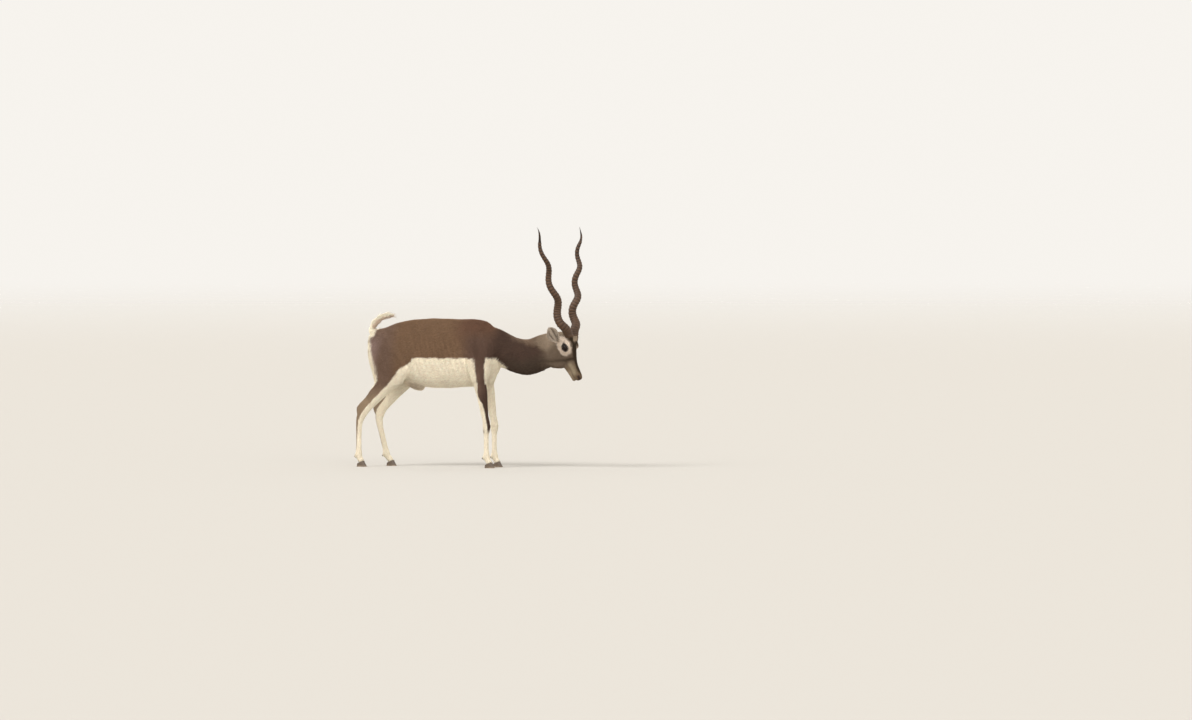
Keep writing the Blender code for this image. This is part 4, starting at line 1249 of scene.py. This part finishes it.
# The roots stand evenly over the skin, closer where the locks are small and on the tail.
corners = skin[faces]
areas = np.linalg.norm(np.cross(corners[:, 1] - corners[:, 0], corners[:, 2] - corners[:, 0]), axis=1) / 2
middles, ways = corners.mean(1), unit(facing[faces].mean(1))
long, wide, _ = lock_size(middles, ways)
chance = areas / (long * wide) * ~bare(middles, ways) * (1 + 4 * on_tail(middles))
steps = (np.arange(LOCKS) + 0.5) / LOCKS
chosen = np.searchsorted(np.cumsum(chance) / chance.sum(), steps)
share = rng.random((LOCKS, 3)) ** 0.5 + 0.15
share /= share.sum(1, keepdims=True)
roots = np.einsum("ij,ijk->ik", share, skin[faces[chosen]])
norms = unit(np.einsum("ij,ijk->ik", share, facing[faces[chosen]]))
spots = np.einsum("ij,ijk->ik", share, flat[chosen])
keep = ~bare(roots, norms)
roots, norms, spots = roots[keep], norms[keep], spots[keep]
lays = lie_of(roots, norms)
long, wide, lift = lock_size(roots, norms)


def locks(name, chosen, seed):
    """One joined mesh of the chosen locks."""
    rng = np.random.default_rng(seed)
    count = len(chosen)
    root, up, lay, spot = roots[chosen], norms[chosen], lays[chosen], spots[chosen]
    size = rng.uniform(0.75, 1.25, (count, 1))
    length, width, rise = long[chosen, None] * size, wide[chosen, None], lift[chosen, None]
    across = np.cross(up, lay)
    lay = unit(lay + across * rng.normal(0, 0.13, (count, 1)))
    across = np.cross(up, lay)
    rise = rise * rng.uniform(0.5, 1.3, (count, 1))
    hook = across * length * rng.normal(0, 0.06, (count, 1))
    waist = root + lay * length * 0.5 + up * rise * 0.85 + hook * 0.3
    tip = root + lay * length + up * rise * 0.75 + hook
    corners = blade_corners(root - up * 0.5, waist, tip, across * width / 2, up * width * 0.38)
    corners[..., 2] = np.maximum(corners[..., 2], LOWEST)
    piece = blade_mesh(name, metres(corners))
    layer = piece.data.uv_layers.new(name="OFBake")
    layer.data.foreach_set("uv", (spot[:, None] + PATCH[BLADE_LOOPS]).astype(np.float32).ravel())
    tone = markings(root + rng.normal(0, 1.2, (count, 3)), up)
    tone = tone[:, None] * rng.normal(1, 0.09, (count, 1, 1))
    # each lock is painted darker at its foot and paler on its outer ridge and tip: painted shade and painted
    # light
    painted(piece, np.clip(tone * LOCK_SHADE_AND_LIGHT[None, :, None], 0, 1).reshape(-1, 3))
    piece.data.materials.append(tuft_fur)
    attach(piece, "root")


x, y, z = roots.T
left = y > 0
head_left = to_head(roots)[:, 1] > 0
ear = in_ear(roots, 1) | in_ear(roots, -1)
face = (in_face(roots) > 0.5) & ~ear
tail = on_tail(roots)
rest = ~(ear | face | tail)
neck = rest & (x > 400)
rest &= ~neck
leg = rest & (z < 420) & ((x > 245) | (x < -150) | (z < 385))
rest &= ~leg
belly = rest & (z < 520) & (np.abs(y) < 80) & (x > -130)
rest &= ~belly
SHOULDER_END, THIGH_START = 170, -110
PARTS = (
    # name, its locks, its slot, and the locks that are on the left where it is split in two
    ("ears", ear, "face", None),
    ("face", face, "face", head_left),
    ("tail", tail, "white_coat", None),
    ("neck", neck, "coat", left),
    ("foreleg", leg & (x > 0), "white_coat", left),
    ("hindleg", leg & (x < 0), "white_coat", left),
    ("belly", belly, "white_coat", None),
    ("shoulder", rest & (x > SHOULDER_END), "coat", left),
    ("flank", rest & (x <= SHOULDER_END) & (x > THIGH_START), "coat", left),
    ("thigh", rest & (x <= THIGH_START), "coat", left),
)
groups = []
for part, group, slot, lefts in PARTS:
    halves = {"": group} if lefts is None else {"_right": group & ~lefts, "_left": group & lefts}
    groups += [(f"coat_{part}{half}", chosen, slot) for half, chosen in halves.items()]
for seed, (name, group, slot) in enumerate(groups):
    locks(name, np.flatnonzero(group), seed)


# The studio. A plain pale floor that fades into the same pale air, large soft lights, and a long
# lens at the height and side from which the photo was taken.

PAPER, AIR, AIR_STRENGTH = (0.55, 0.525, 0.485, 1), (0.80, 0.775, 0.735, 1), 1.16
FLOOR_RADIUS, FADE = 80, (18.0, 70.0)
LIGHTS = (
    # name, turn in degrees, spread in degrees, power
    ("key", (42, 0, -35), 26, 2.05),
    ("fill", (70, 0, 38), 60, 0.95),
)
VIEW_TURN, VIEW_RISE, VIEW_FAR = math.radians(16), math.radians(1.5), 33.8
AIM_RIGHT, AIM_HEIGHT = 846.6, 545.7  # where the lens points, across the picture and up
LENS, FILM = 200, 36

bpy.ops.mesh.primitive_circle_add(vertices=96, radius=FLOOR_RADIUS, fill_type="NGON")
floor = bpy.context.object
floor.name = "floor"
paper, surface = material("studio_paper", roughness=0.9, specular=0.1)
surface.inputs["Base Color"].default_value = PAPER
feed(surface, "Alpha", 1 - place_tone().length().within(*FADE))
floor.data.materials.append(paper)

air = bpy.data.worlds.new("air")
air.use_nodes = True
air.node_tree.nodes["Background"].inputs["Color"].default_value = AIR
air.node_tree.nodes["Background"].inputs["Strength"].default_value = AIR_STRENGTH
bpy.context.scene.world = air
bpy.context.scene.view_settings.view_transform = "Standard"

for name, turn, spread, power in LIGHTS:
    bpy.ops.object.light_add(type="SUN", rotation=[math.radians(a) for a in turn])
    lamp = bpy.context.object
    lamp.name = name
    lamp.data.angle = math.radians(spread)
    lamp.data.energy = power

aim = np.array((math.cos(VIEW_TURN), math.sin(VIEW_TURN), 0)) * AIM_RIGHT + (0, 0, AIM_HEIGHT)
level = math.cos(VIEW_RISE)
back = Vector((math.sin(VIEW_TURN) * level, -math.cos(VIEW_TURN) * level, math.sin(VIEW_RISE)))
bpy.ops.object.camera_add(location=Vector(metres(aim)) + back * VIEW_FAR)
camera = bpy.context.object
camera.rotation_euler = (-back).to_track_quat("-Z", "Y").to_euler()
camera.data.lens = LENS
camera.data.sensor_width = FILM
camera.data.clip_end = 200
bpy.context.scene.camera = camera
